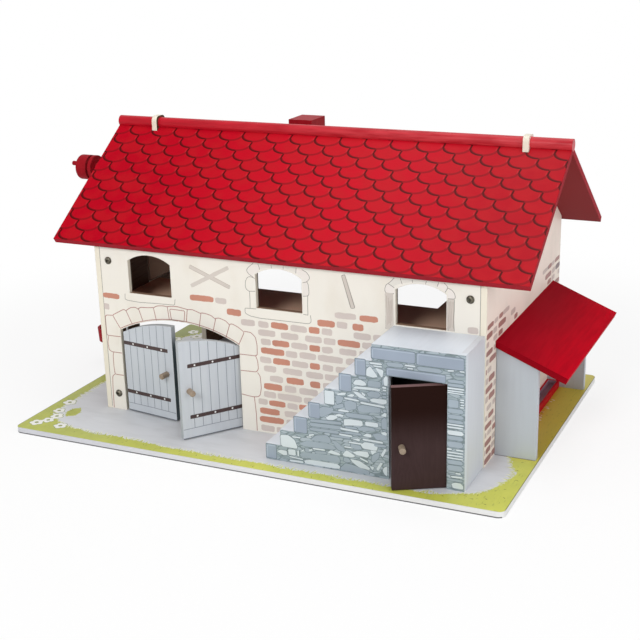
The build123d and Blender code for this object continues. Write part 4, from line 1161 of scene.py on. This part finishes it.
def plain_paint(name, colour, wear, streak=(1, 1, 0.1), under=None):
    """Plain brushed paint on board, with its own colour underneath where it is hidden."""
    material, recipe = new_material(name)
    brush = recipe.noise(recipe.stretched(streak), 240, 3)
    darker = tuple(value * 0.86 for value in colour[:3]) + (1,)
    paint = brush.step(0.35, 0.75, 0, 0.22).blend(colour, darker)
    if under is not None:
        paint = recipe.use(board_sides, Outward=(0, 0, 1), Face=paint, Back=under, Edge=paint)
    skin(recipe, paint, 0.08, 0.4, wear=wear)
    return material


stair_plain = plain_paint("stair_paint", stair_blue, tint(232, 234, 234), (1, 0.1, 1), cellar_shade_black)
dress(stair_plain, "stair_treads", "stair_risers", "landing_board")
side_plain = plain_paint("stair_side_paint", tint(212, 216, 223), tint(228, 231, 232))
dress(side_plain, "stair_side_panel")

mortar_print, recipe = new_material("mortar_print")
silt = recipe.noise(recipe.place(), 160, 3).step(0.3, 0.7)
cells = {"Vector": recipe.stretched((95, 1, 330)), "Scale": 1.0, "Randomness": 0.85}
from_joint = recipe.add("ShaderNodeTexVoronoi", cells, feature="DISTANCE_TO_EDGE")
slab_tone = recipe.axes(recipe.add("ShaderNodeTexVoronoi", cells, out="Color"))[0]
joint = silt.blend(tint(112, 127, 131), tint(124, 139, 143))
mortar = slab_tone.blend(tint(148, 163, 169), tint(172, 184, 193))
mortar = from_joint.step(0.035, 0.085).blend(joint, mortar)
sides = recipe.use(board_sides, Outward=(0, -1, 0), Face=mortar, Back=cellar_shade_black, Edge=stair_blue)
skin(recipe, sides, 0.1, 0.42, wear=tint(226, 230, 230))
dress(mortar_print, "stair_front_panel")

stair_front = -152.0
stair_face = Face((0, stair_front, deck), (1, 0, 0), (0, 0, 1), "stair_paint")
pale_stone = ink_material("pale_stone_ink", tint(211, 220, 225), 0.25)
grey_stone = ink_material("grey_stone_ink", tint(158, 171, 182), 0.4)
blue_stone = ink_material("blue_stone_ink", tint(152, 164, 180), 0.35)
blue_light = ink_material("blue_highlight_ink", tint(180, 193, 205), 0.2)
joint_ink = ink_material("joint_ink", tint(108, 123, 129), 0.3)
block_places = [
    (22.5, 8.5, 10.5, 14.0, 0), (54.3, 40.5, 13.2, 15.5, 0), (69.0, 57.5, 11.2, 14.6, 0),
    (101.0, 89.5, 11.8, 16.2, 0), (116.1, 106.5, 10.0, 15.2, 0), (147.8, 121.8, 41.4, 10.4, 0),
    (191.9, 121.4, 43.6, 11.0, 0), (169.2, 105.8, 55.4, 7.4, 0),
]
pale_blocks = [(84.8, 72.5, 9.6, 13.2, 0)]
joint_width = 1.1
block_rims, lights = [], []
for u, v, length, height, _ in block_places + pale_blocks:
    block_rims.append((u, v, length + joint_width, height + joint_width, 0))
for u, v, length, height, _ in block_places:
    left, right = u - length / 2 + 1.2, u + length / 2 - 1
    low, high = v - height / 2 + 1, v + height / 2 - 1.2
    lights.append([(left, low), (left, high), (right, high)])
squared = {**BRICK, "Corner": 0.07}
stamp("stair_block_rims", squared, block_rims, stair_face, joint_ink, 0.3, 2.0, 0.06)
stamp("stair_blocks", squared, block_places, stair_face, blue_stone, 0.3, 2.0, 0.09)
stamp("stair_pale_blocks", squared, pale_blocks, stair_face, pale_stone, 0.3, 3.0, 0.09)
draw("stair_block_lights", lights, 0.5, stair_face, blue_light, 0.13)

# Chunky stones by their corners, and thin slabs by middle, length, height and lean.
pale_shapes = [
    [(32.6, 27), (41.1, 28), (47.7, 24), (50.3, 17.7), (50, 15.3), (33.3, 15.3)],
    [(28.3, 9.4), (32.6, 11.7), (39, 11.3), (39.4, 7), (35.4, 6.3)],
    [(40.4, 13.4), (48, 14), (48.6, 8), (40.9, 7.7)],
    [(56.9, 4.4), (62.6, 6.3), (91.1, 6.6), (94.3, 4.6), (93.4, 1.7), (58.3, 1.3)],
    [(54, 14.1), (57.7, 16.1), (57.1, 14.6), (54.6, 12.9)],
    [(81.4, 16.9), (85.4, 19.9), (94, 17.7), (94.9, 16), (88.3, 15.7)],
    [(96.6, 16.9), (101.1, 22.6), (110, 17.7), (106.9, 16), (99.7, 15.6)],
    [(106.9, 21.3), (112.6, 23.4), (122.3, 24.1), (123.7, 20.6), (121.9, 18), (111.1, 19.1)],
    [(124.7, 26.1), (131.7, 26.1), (126.6, 21.6)],
    [(115.4, 29.9), (119, 33.4), (128.3, 33.4), (132.4, 30.3), (131.1, 26.4), (117.6, 26.7)],
    [(135.1, 22.9), (139, 30), (141.3, 29.6), (137.1, 21.1)],
    [(104.3, 14), (114, 13.6), (124.1, 8.3), (124.1, 5.9), (114, 6.7), (107.6, 10.4)],
    [(123.7, 10.3), (128.6, 9.7), (127.1, 6.1)],
    [(134.9, 15.6), (137.3, 15.1), (132.6, 6.4), (130.4, 8)],
    [(138, 10.6), (141.3, 12.9), (141.3, 2.6), (138.6, 4.1), (137, 7.7)],
    [(117.4, 39.3), (121.1, 42.1), (125.9, 42.1), (126.4, 39)],
    [(107.1, 34.3), (112.6, 36.1), (115.1, 35.1), (114, 33.3)],
    [(80.4, 51.7), (85.4, 55.3), (90.9, 55.6), (93, 53.7), (88.3, 50.6), (82.6, 49.9)],
    [(98.9, 53.1), (105.4, 54.1), (117.3, 54.1), (117.9, 49.1), (105.4, 47.9), (99, 46.7)],
    [(120.1, 54), (132.7, 54.3), (133, 50.1), (120.3, 49.9)],
    [(92.9, 61.4), (96.1, 62.7), (104.4, 62), (103.7, 60.6), (94, 60.4)],
    [(90.4, 56.1), (94, 57.7), (98.7, 56.9), (98.3, 55.3), (91.1, 55)],
    [(135.1, 45.4), (139.7, 46.7), (141.6, 45.4), (140.9, 43), (137.7, 43.3)],
    [(135.4, 61.6), (139.4, 65.6), (141.3, 64.7), (140.9, 61.4)],
    [(124.7, 76), (128.3, 77.9), (141.3, 78.4), (141.6, 74.9), (138.3, 73.3), (126.9, 74.4)],
    [(108.3, 81.9), (114, 81.9), (124.4, 75.3), (124.1, 73.6), (114, 77.1)],
    [(116.9, 82.7), (121, 80.4), (120.1, 78.7), (117.3, 80.4)],
    [(91.3, 77), (98.3, 79.3), (101.7, 79.6), (100.7, 77.3), (94, 76.1)],
    [(102.1, 76.4), (106.9, 79.3), (110.1, 78.7), (108.4, 76.4)],
    [(108, 84.7), (111.1, 87.1), (122.6, 87.9), (135.3, 87.9), (135.3, 85.9), (122.6, 85.4)],
    [(108.7, 89.9), (111.1, 93.3), (116.1, 94.4), (121.1, 92.1), (121.9, 89.7), (118.3, 88.6),
     (110, 88.7)],
    [(122.1, 105.3), (125.7, 108.9), (133.3, 99.1), (128.3, 97.9), (121.7, 99)],
    [(130.3, 107.9), (138.6, 106.3), (137.9, 100.3), (136.6, 99)],
    [(138.4, 98.3), (140.9, 101.4), (142.7, 99.9), (142.4, 91.7), (139.1, 91.7)],
    [(203.3, 6.3), (206.9, 8), (211.9, 8), (214.6, 5.6), (214.6, 2.3), (204.7, 2.3)],
]
pale_slabs = [
    (51, 10.7, 2, 6.5, 0), (48.8, 5.6, 14.9, 1.4, -0.06), (49, 2.2, 15.3, 2.2, 0.03),
    (49.7, 27.1, 9.4, 1.5, 0.02), (64.3, 16.4, 4, 1.5, 0.3), (72.8, 18.5, 13.3, 1.7, 0.02),
    (118.4, 15.2, 9.4, 1.7, -0.35), (127.5, 35.7, 20.9, 2, -0.02), (100.4, 37.2, 14, 1.7, -0.02),
    (104.5, 43, 19, 2.1, -0.03), (110, 30.9, 14.2, 1.7, 0), (103.4, 25.6, 9.7, 1.4, 0.02),
    (65.4, 32, 6.3, 1.8, 0.28), (62.9, 29.5, 5.7, 1.2, 0.1), (127.7, 71.4, 24.6, 2, -0.05),
    (107, 73.8, 15.2, 1.8, -0.06), (110.8, 83.8, 6.3, 1.1, -0.1), (133.1, 109.3, 9.1, 1.4, 0),
    (131.2, 111.7, 12.7, 1.9, 0), (139.2, 89.7, 4.3, 1.9, 0), (139.4, 87.2, 4, 1.5, 0),
    (206.3, 98.1, 16.6, 1.6, 0), (206, 95.7, 16, 1.3, 0.01), (206.4, 93.8, 16.3, 1.1, -0.02),
    (212.5, 88.3, 4.2, 1.5, 0), (212.4, 86.1, 3.9, 1.3, 0), (212.8, 83.4, 3.7, 1.4, 0),
    (212.4, 81.1, 3.9, 1.3, 0), (206.3, 63.8, 16.6, 1.5, 0), (206.2, 61.2, 15.7, 1.6, 0.01),
    (206.3, 56.1, 16.6, 4.4, 0), (200.8, 39.9, 5.7, 1.5, 0), (210.8, 39.9, 7.7, 1.5, 0),
    (206.4, 37, 16.3, 1.4, 0), (206.3, 34.1, 16, 1.5, 0.01), (206.4, 31.4, 16.3, 1.3, 0),
    (209.6, 17.1, 5.4, 1.5, 0), (208.4, 13.5, 11.7, 1.8, 0.04), (163.9, 113.9, 10.7, 1.6, 0),
    (164.1, 111.3, 6, 1.3, 0), (199.7, 114.3, 10.5, 1.5, 0.05), (212.1, 114.7, 4.9, 1.2, 0),
]
grey_shapes = [
    [(52.9, 10.6), (56.9, 12.6), (91.1, 14.9), (94, 12.7), (94.3, 8), (54, 7.4)],
    [(64, 26.7), (69.7, 32.1), (81.1, 34.4), (84.7, 31.3), (85.4, 26.6)],
    [(52.6, 21.3), (61.1, 25.6), (86.1, 25.6), (91.1, 21.7), (81.1, 20.1), (56.9, 19.1)],
    [(85.7, 30.1), (91.1, 29.4), (100, 22.3), (99.4, 19.6), (91.9, 21.3)],
    [(74.7, 60.6), (78.3, 62.6), (89, 62.3), (87.1, 57.7), (76.9, 51.7), (74.7, 52.4)],
    [(99.4, 70.6), (105.4, 72.6), (111.7, 70.9), (111.4, 64.9), (101.1, 61.7)],
    [(112.6, 67.4), (116.9, 70), (135.7, 69.4), (134.9, 64.6), (114, 62.4)],
    [(121.9, 82), (126.9, 84.7), (134, 84.3), (135.9, 81.7), (132.6, 78.7), (124, 79)],
    [(123, 89.1), (123.7, 94.7), (135.7, 94.7), (135.7, 89.1)],
    [(127.1, 42.4), (132.6, 44.3), (141.4, 43.1), (141.4, 38.9), (131.1, 37.4)],
    [(112.6, 46), (118.3, 48.7), (128.3, 48.7), (130.7, 46.3), (114.3, 44)],
    [(125.9, 15.3), (126.7, 21.3), (134.4, 25.9), (132.9, 19.1), (128.3, 14.3)],
    [(94.3, 3.1), (99.7, 8.9), (106.9, 8.3), (124, 4.6), (123.4, 1.3), (95.4, 1.3)],
    [(136.4, 49.6), (136.1, 57.7), (139, 60.6), (141.3, 59.4), (141.3, 48.9)],
    [(88.6, 64.9), (98.3, 68.7), (99.1, 64.9), (94, 63.1), (88.3, 62.6)],
    [(91.1, 74.9), (94, 76), (99.1, 74.6), (97.1, 69.1), (91.9, 66.9)],
    [(58.3, 17.7), (61.9, 17.7), (67.1, 16), (64, 14), (58.6, 13.7)],
    [(199.6, 87.4), (209.1, 87.4), (209.1, 80.3), (199.6, 80.3)],
    [(98.3, 14.6), (103.3, 14.3), (105.4, 11.1), (101.1, 9.7), (97.7, 10.9)],
    [(105.4, 29.7), (114.9, 28.9), (116.6, 26), (112.6, 24.6), (105.4, 25.6)],
]
grey_slabs = [
    (114.2, 58.2, 28.3, 4.3, 0.01), (80.8, 43.2, 34.9, 3.7, 0.03), (78.7, 38.4, 30.6, 3, 0.02),
    (80.5, 47.5, 32.9, 2.9, 0.05), (108.2, 40.2, 16.9, 2.3, 0), (106, 45.6, 12.6, 2, 0.03),
    (90.4, 58.9, 18.6, 2, 0.02), (74.7, 15.4, 12.8, 2.9, 0.08), (206.3, 104.8, 16, 2.9, 0),
    (206.3, 101.2, 16, 2.7, 0), (206.3, 77, 16, 4.2, 0), (206.3, 71.5, 16, 3.8, 0),
    (206.3, 66.8, 16, 3, 0), (206.3, 51.1, 16, 4, 0), (206.3, 44.9, 16, 5.7, 0),
    (206.3, 27.6, 16, 4.1, 0), (206.3, 21.9, 16, 5.5, 0), (206.3, 10.2, 16, 2.2, 0),
    (149.6, 112.9, 16.9, 4, 0), (182, 112.6, 24, 4, 0), (209.9, 111.8, 8.9, 2.3, 0),
    (99.7, 39.6, 11.4, 1.4, 0), (139.2, 83.8, 4.3, 2.2, 0), (139.2, 80.6, 4.3, 2.3, 0),
    (139.6, 67.2, 3.7, 2.4, 0), (95.4, 35.1, 20, 2.3, 0.02), (134.7, 32.1, 12.8, 2.5, 0.05),
    (119, 75.4, 12.8, 2.3, -0.1), (107.6, 75.5, 10, 0.9, 0), (118, 96.4, 8, 2.6, 0.02),
    (137.8, 94.7, 1.7, 6, 0), (139.2, 47.7, 4.3, 1.2, 0), (207.7, 15.6, 13.2, 0.9, 0),
]


def grown(shape, reach):
    """Corners of a shape moved away from its middle."""
    shape = [Vector(corner) for corner in shape]
    centre = sum(shape, Vector((0, 0))) / len(shape)
    return [corner + (corner - centre).normalized() * reach for corner in shape]


def slab(place, reach, bounds):
    """Outline of a thin flat stone with blunt, slightly pointed ends, kept on the panel."""
    u, v, length, height, lean = place
    turn = Matrix.Rotation(lean, 2)
    tip = min(0.12 * length, 0.6 * height)
    half, rise = length / 2 + reach, height / 2 + reach
    corners = []
    for side, skew in ((1, 0.25), (-1, -0.2)):
        corners += [(side * (half - tip), side * rise), (side * -(half - tip), side * rise * 0.9)]
        corners.append((side * -half, skew * rise))
    outline = [turn @ Vector(corner) + Vector((u, v)) for corner in corners]
    low, high = bounds
    return [Vector((min(max(corner.x, low), high), corner.y)) for corner in outline]


# Slabs are kept on the panel, and beside the cellar doorway below its lintel.
panel_left, doorway_left, jamb_left, panel_right = 17.4, 142.0, 198.9, 215.4
lintel_foot = 101
shape_rim, slab_rim = 0.6, 0.55
for label, shapes, slabs, ink in (
    ("pale", pale_shapes, pale_slabs, pale_stone),
    ("grey", grey_shapes, grey_slabs, grey_stone),
):
    rims, stones = [grown(shape, shape_rim) for shape in shapes], list(shapes)
    for place in slabs:
        bounds = (panel_left, panel_right)
        if place[0] > jamb_left:
            bounds = (jamb_left, panel_right)
        elif place[0] < doorway_left and place[1] < lintel_foot:
            bounds = (panel_left, doorway_left)
        rims.append(slab(place, slab_rim, bounds))
        stones.append(slab(place, 0.0, bounds))
    flat_coats(f"rubble_rims_{label}", rims, stair_face, joint_ink, 0.05)
    flat_coats(f"rubble_{label}", stones, stair_face, ink, 0.09)

# Cellar door --------------------------------------------------------------------------------
# One plain leaf of dark brown board under the landing, satin lacquered, on two steel pins.

cellar_brown, recipe = new_material("cellar_brown")
brown_light, brown_dark = tint(64, 48, 48), tint(57, 42, 42)
leaf_place = recipe.stretched((50, 50, 7))
grain = recipe.use(wood_grain, Place=leaf_place, Light=brown_light, Dark=brown_dark)
# Its upper part is painted near black as painted shade under the landing, and its upward faces paler as
# painted light.
height = recipe.axes(recipe.place())[2].step(0.045, 0.085)
upward = recipe.axes(recipe.facing())[2].above(squarely)
paint = upward.blend(height.blend(grain, tint(34, 16, 12)), tint(122, 92, 90))
skin(recipe, paint, 0.08, 0.36, wear=tint(84, 64, 62), IOR=1.12)
dress(cellar_brown, "cellar_door")

# Roof ---------------------------------------------------------------------------------------
# Two red lacquered boards printed with rows of rounded tiles. The front one is glued to the
# ridge rod and lifts with it; the back one is fixed to the gables.

# Rows of rounded tiles on a slope: the shadow line on the left of each tile's lower edge, the
# softer shade on its right, and the short tick where two tiles meet. All in millimetres.
tile_rows, recipe, given, outlets = new_group(
    "tile_rows",
    {"Place": "Vector", "Eave": "Vector", "Up Slope": "Vector"},
    {"Line": "Float", "Shade": "Float", "Glint": "Float"},
)
tile_width, tile_pitch, bow = 27.6, 13.79, 7.8
tile_start = -76.3
half_tile = tile_width / 2
from_eave = recipe.vector("SUBTRACT", given["Place"], given["Eave"])
v = recipe.dot(from_eave, given["Up Slope"]) / MM
u = recipe.axes(given["Place"])[0] / MM + (recipe.noise(given["Place"], 60) - 0.5) * 0.9
row = (v + 0.3) / tile_pitch
row_index = recipe.math("FLOOR", row)
odd = recipe.math("MODULO", row_index + 40.0, 2.0)
centred = u + odd * half_tile + (1000 * tile_width + tile_start + half_tile)
across = recipe.math("MODULO", centred, tile_width) - half_tile
# A tile ends in a flat half ellipse; drop is measured down from where its straight sides end.
drop = (row - row_index) * tile_pitch - bow
stretched_drop = drop * (half_tile / bow)
reach = recipe.math("SQRT", across * across + stretched_drop * stretched_drop)
from_rim = reach - half_tile
curved = drop.step(0.0, 0.6, 1, 0)
on_left = across.step(-0.8, 1.6, 1, 0) * curved
on_right = across.step(-1.6, 0.8) * curved
# The dark band along the lower edge is as wide as it looks, though the ellipse is flat.
rim_share = from_rim / (2.1 + drop / -bow * 2.9)
inside_rim = from_rim.step(0.1, 0.7, 1, 0)
band = rim_share.step(-1.15, -0.8) * inside_rim
outer_line = rim_share.step(-0.75, -0.35) * inside_rim
# The joint between two tiles leans a little, with a pale stroke on its left.
from_joint = recipe.math("PINGPONG", centred - drop * 0.13, half_tile)
tick = from_joint.step(0.7, 1.25, 1, 0) * drop.step(-1.6, 0.4)
line = recipe.math("MAXIMUM", outer_line * (on_left * 0.8), tick)
shade = recipe.math("MAXIMUM", band * on_left * 0.92, band * on_right * 0.62)
beside_joint = recipe.math("ABSOLUTE", across - half_tile)
glint = beside_joint.step(1.0, 1.5) * beside_joint.step(1.9, 2.5, 1, 0)
glint = glint * drop.step(-1.8, 0.2) * drop.step(3.0, 4.6, 1, 0)
on_print = v.step(-0.4, 0.2)
for label, mask in (("Line", line), ("Shade", shade), ("Glint", glint)):
    recipe.feed(outlets[label], mask * on_print)

roof_pitch = math.radians(35)
eave_z = 189.12


def roof_print(name, eave_y, side):
    """Red lacquer with the tile print on its top face; side is -1 for the front slope."""
    material, recipe = new_material(name)
    run, rise = math.cos(roof_pitch), math.sin(roof_pitch)
    place = recipe.place()
    eave = (0, eave_y * MM, eave_z * MM)
    tiles = recipe.use(tile_rows, Place=place, Eave=eave, Up_Slope=(0, -side * run, rise))
    along = recipe.axes(place)[0]
    # Along the ridge the red is painted as light falls on it: deep at the left, paler toward the middle
    # as a painted sheen, and darker again to the right.
    red = along.step(-0.2, 0.0).blend(tint(180, 6, 30), tint(194, 12, 34))
    patch = recipe.noise(place, 42, 2).step(0.38, 0.62)
    dark = recipe.noise(place, 400, 2).blend(tint(54, 8, 8), tint(74, 14, 14))
    for share, colour in (
        (along.step(0.08, 0.24), tint(174, 14, 30)),
        (patch * 0.5, tint(184, 26, 34)),
        (tiles["Shade"] * 0.92, tint(110, 20, 26)),
        (tiles["Glint"] * 0.16, tint(196, 96, 98)),
        (tiles["Line"] * 0.92, dark),
    ):
        red = share.blend(red, colour)
    # The underside's dull brownish red is the red lacquer in painted shade.
    under, edge = tint(140, 56, 58), tint(158, 40, 50)
    outward = (0, side * rise, run)
    sides = recipe.use(board_sides, Outward=outward, Face=red, Back=under, Edge=edge)
    polish = along.step(-0.2, 0.1, 1.08, 1.18)
    skin(recipe, sides, 0.10, 0.46, IOR=sides["On Face"].step(0.0, 1.0, 1.06, polish))
    return material


dress(roof_print("front_tiles", -105.54, -1), "roof_front")
dress(roof_print("back_tiles", 174.94, 1), "roof_back")

# Ridge rod: turned, and sprayed a glossier red, painted paler toward its right end as a painted
# highlight.
rod_lacquer, recipe = new_material("red_lacquer")
painted_highlight = recipe.axes(recipe.place())[0].step(-0.2, 0.15)
rod_red = painted_highlight.blend(tint(190, 18, 38), tint(202, 60, 68))
grain = recipe.noise(recipe.stretched((0.1, 1, 1)), 300, 3).step(0.3, 0.8)
rod_red = grain.blend(rod_red, tint(168, 16, 32))
skin(recipe, rod_red, 0.12, 0.34, 0.00003, tint(196, 52, 62), IOR=1.28)
dress(rod_lacquer, "ridge_rod")

# Chimney: a solid block, sprayed the same dull red as the hoist.
hoist_red, recipe = new_material("sprayed_red")
grain = recipe.noise(recipe.stretched((1, 1, 0.2)), 280, 3).step(0.3, 0.8)
dull_red = grain.blend(tint(160, 28, 38), tint(146, 22, 32))
skin(recipe, dull_red, 0.12, 0.4, 0.00003, tint(176, 50, 58), IOR=1.1)
dress(hoist_red, "chimney")

# Lean-to ------------------------------------------------------------------------------------
# Feed shelter on the right gable: a plain red board on two pale grey uprights, with a red
# manger against the wall.

deep_red, recipe = new_material("deep_red_lacquer")
# The board is painted darker toward the wall and brighter at its low outer end, as painted shade and
# light.
slope_light = recipe.axes(recipe.place())[0].step(0.225, 0.285)
red = slope_light.blend(tint(164, 14, 32), tint(194, 4, 30))
grain = recipe.noise(recipe.stretched((1, 0.1, 1)), 260, 3).step(0.3, 0.8, 0, 0.5)
sawn_front = recipe.axes(recipe.facing())[1].below(-squarely)
red = sawn_front.blend(grain.blend(red, tint(150, 4, 24)), tint(138, 10, 24))
skin(recipe, red, 0.10, 0.42, 0.00003, tint(166, 26, 34), IOR=1.04)
dress(deep_red, "leanto_roof")

trough_paint, recipe = new_material("trough_paint")
low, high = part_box("leanto_trough")
middle, half = (low + high) / 2, (high - low) / 2
rim = 2.2 * MM
from_middle = recipe.vector("SUBTRACT", recipe.place(), tuple(middle))
x, y, z = recipe.axes(recipe.vector("ABSOLUTE", from_middle))
in_pocket = x.below(half.x - rim) * y.below(half.y - rim)
skin(recipe, in_pocket.blend(tint(186, 8, 30), tint(158, 126, 140)), 0.12, 0.45, IOR=1.12)
dress(trough_paint, "leanto_trough")
leanto_grey = plain_paint("leanto_grey", tint(182, 189, 196), tint(228, 232, 232))
dress(leanto_grey, "leanto_supports")

# Hoist --------------------------------------------------------------------------------------
# Turned drum and crank on a red arm from the left gable, with a red block round its foot. The
# bucket is turned from wood, sprayed the same red, and hangs on a wire bail.

dress(hoist_red, "hoist_socket", "hoist_arm", "hoist_drum", "crank_peg", "lift_bucket")
dress(zinc, "drum_screw", "drum_washer")
dress(pin_steel, "bucket_bail")
dress(cotton, "cord_winding", "cord_knot")

# Floor and light ----------------------------------------------------------------------------
# White studio sweep, a soft key lamp from the front, larger and weaker ones from the right and
# from above, and an even white surround.


def looked_at(recipe):
    """1 on rays that come straight, by a reflection or through glass from the camera."""
    rays = recipe.add("ShaderNodeLightPath")
    direct = recipe.math("MAXIMUM", rays["Is Camera Ray"], rays["Is Glossy Ray"])
    return recipe.math("MAXIMUM", direct, rays["Is Transmission Ray"])


floor_size = 20.0
floor_corners = [(x * floor_size, y * floor_size, 0) for x, y in ((-1, -1), (1, -1), (1, 1), (-1, 1))]
floor_mesh = bpy.data.meshes.new("floor")
floor_mesh.from_pydata(floor_corners, [], [(0, 1, 2, 3)])
floor = bpy.data.objects.new("floor", floor_mesh)
bpy.context.scene.collection.objects.link(floor)
floor_paper, recipe = new_material("floor_paper")
white = (1, 1, 1, 1)
paper = recipe.add("ShaderNodeBsdfDiffuse", {"Color": (0.95, 0.95, 0.95, 1)})
glow = recipe.add("ShaderNodeEmission", {"Color": white, "Strength": 1.0})
far = recipe.vector("LENGTH", recipe.place(), out="Value").step(0.40, 0.75, 0.78, 1.0)
sweep = recipe.add("ShaderNodeMixShader", {0: far * looked_at(recipe), 1: paper, 2: glow})
recipe.end(sweep, "ShaderNodeOutputMaterial")
floor_mesh.materials.append(floor_paper)

world = bpy.data.worlds.new("surround")
bpy.context.scene.world = world
world.use_nodes = True
world.node_tree.nodes.clear()
recipe = Recipe(world.node_tree)
strength = looked_at(recipe).step(0, 1, 0.36, 1.0)
sky = recipe.add("ShaderNodeBackground", {"Color": white, "Strength": strength})
recipe.end(sky, "ShaderNodeOutputWorld")

# Each lamp: where it hangs, the height on the barn's middle line that it points to, its side
# and its power.
for name, place, aim_height, size, power in (
    ("key_lamp", (0.0, -2.55, 1.6), 0.12, 0.9, 35),
    ("fill_lamp", (2.2, -0.7, 1.0), 0.12, 1.4, 15),
    ("top_lamp", (0.1, 0.3, 2.4), 0.1, 1.6, 20),
):
    lamp_data = bpy.data.lights.new(name, "AREA")
    lamp_data.shape = "SQUARE"
    lamp_data.size = size
    lamp_data.energy = power
    lamp = bpy.data.objects.new(name, lamp_data)
    lamp.location = place
    away = Vector((0, 0, aim_height)) - Vector(place)
    lamp.rotation_euler = away.to_track_quat("-Z", "Y").to_euler()
    bpy.context.scene.collection.objects.link(lamp)

bpy.context.scene.view_settings.view_transform = "Standard"
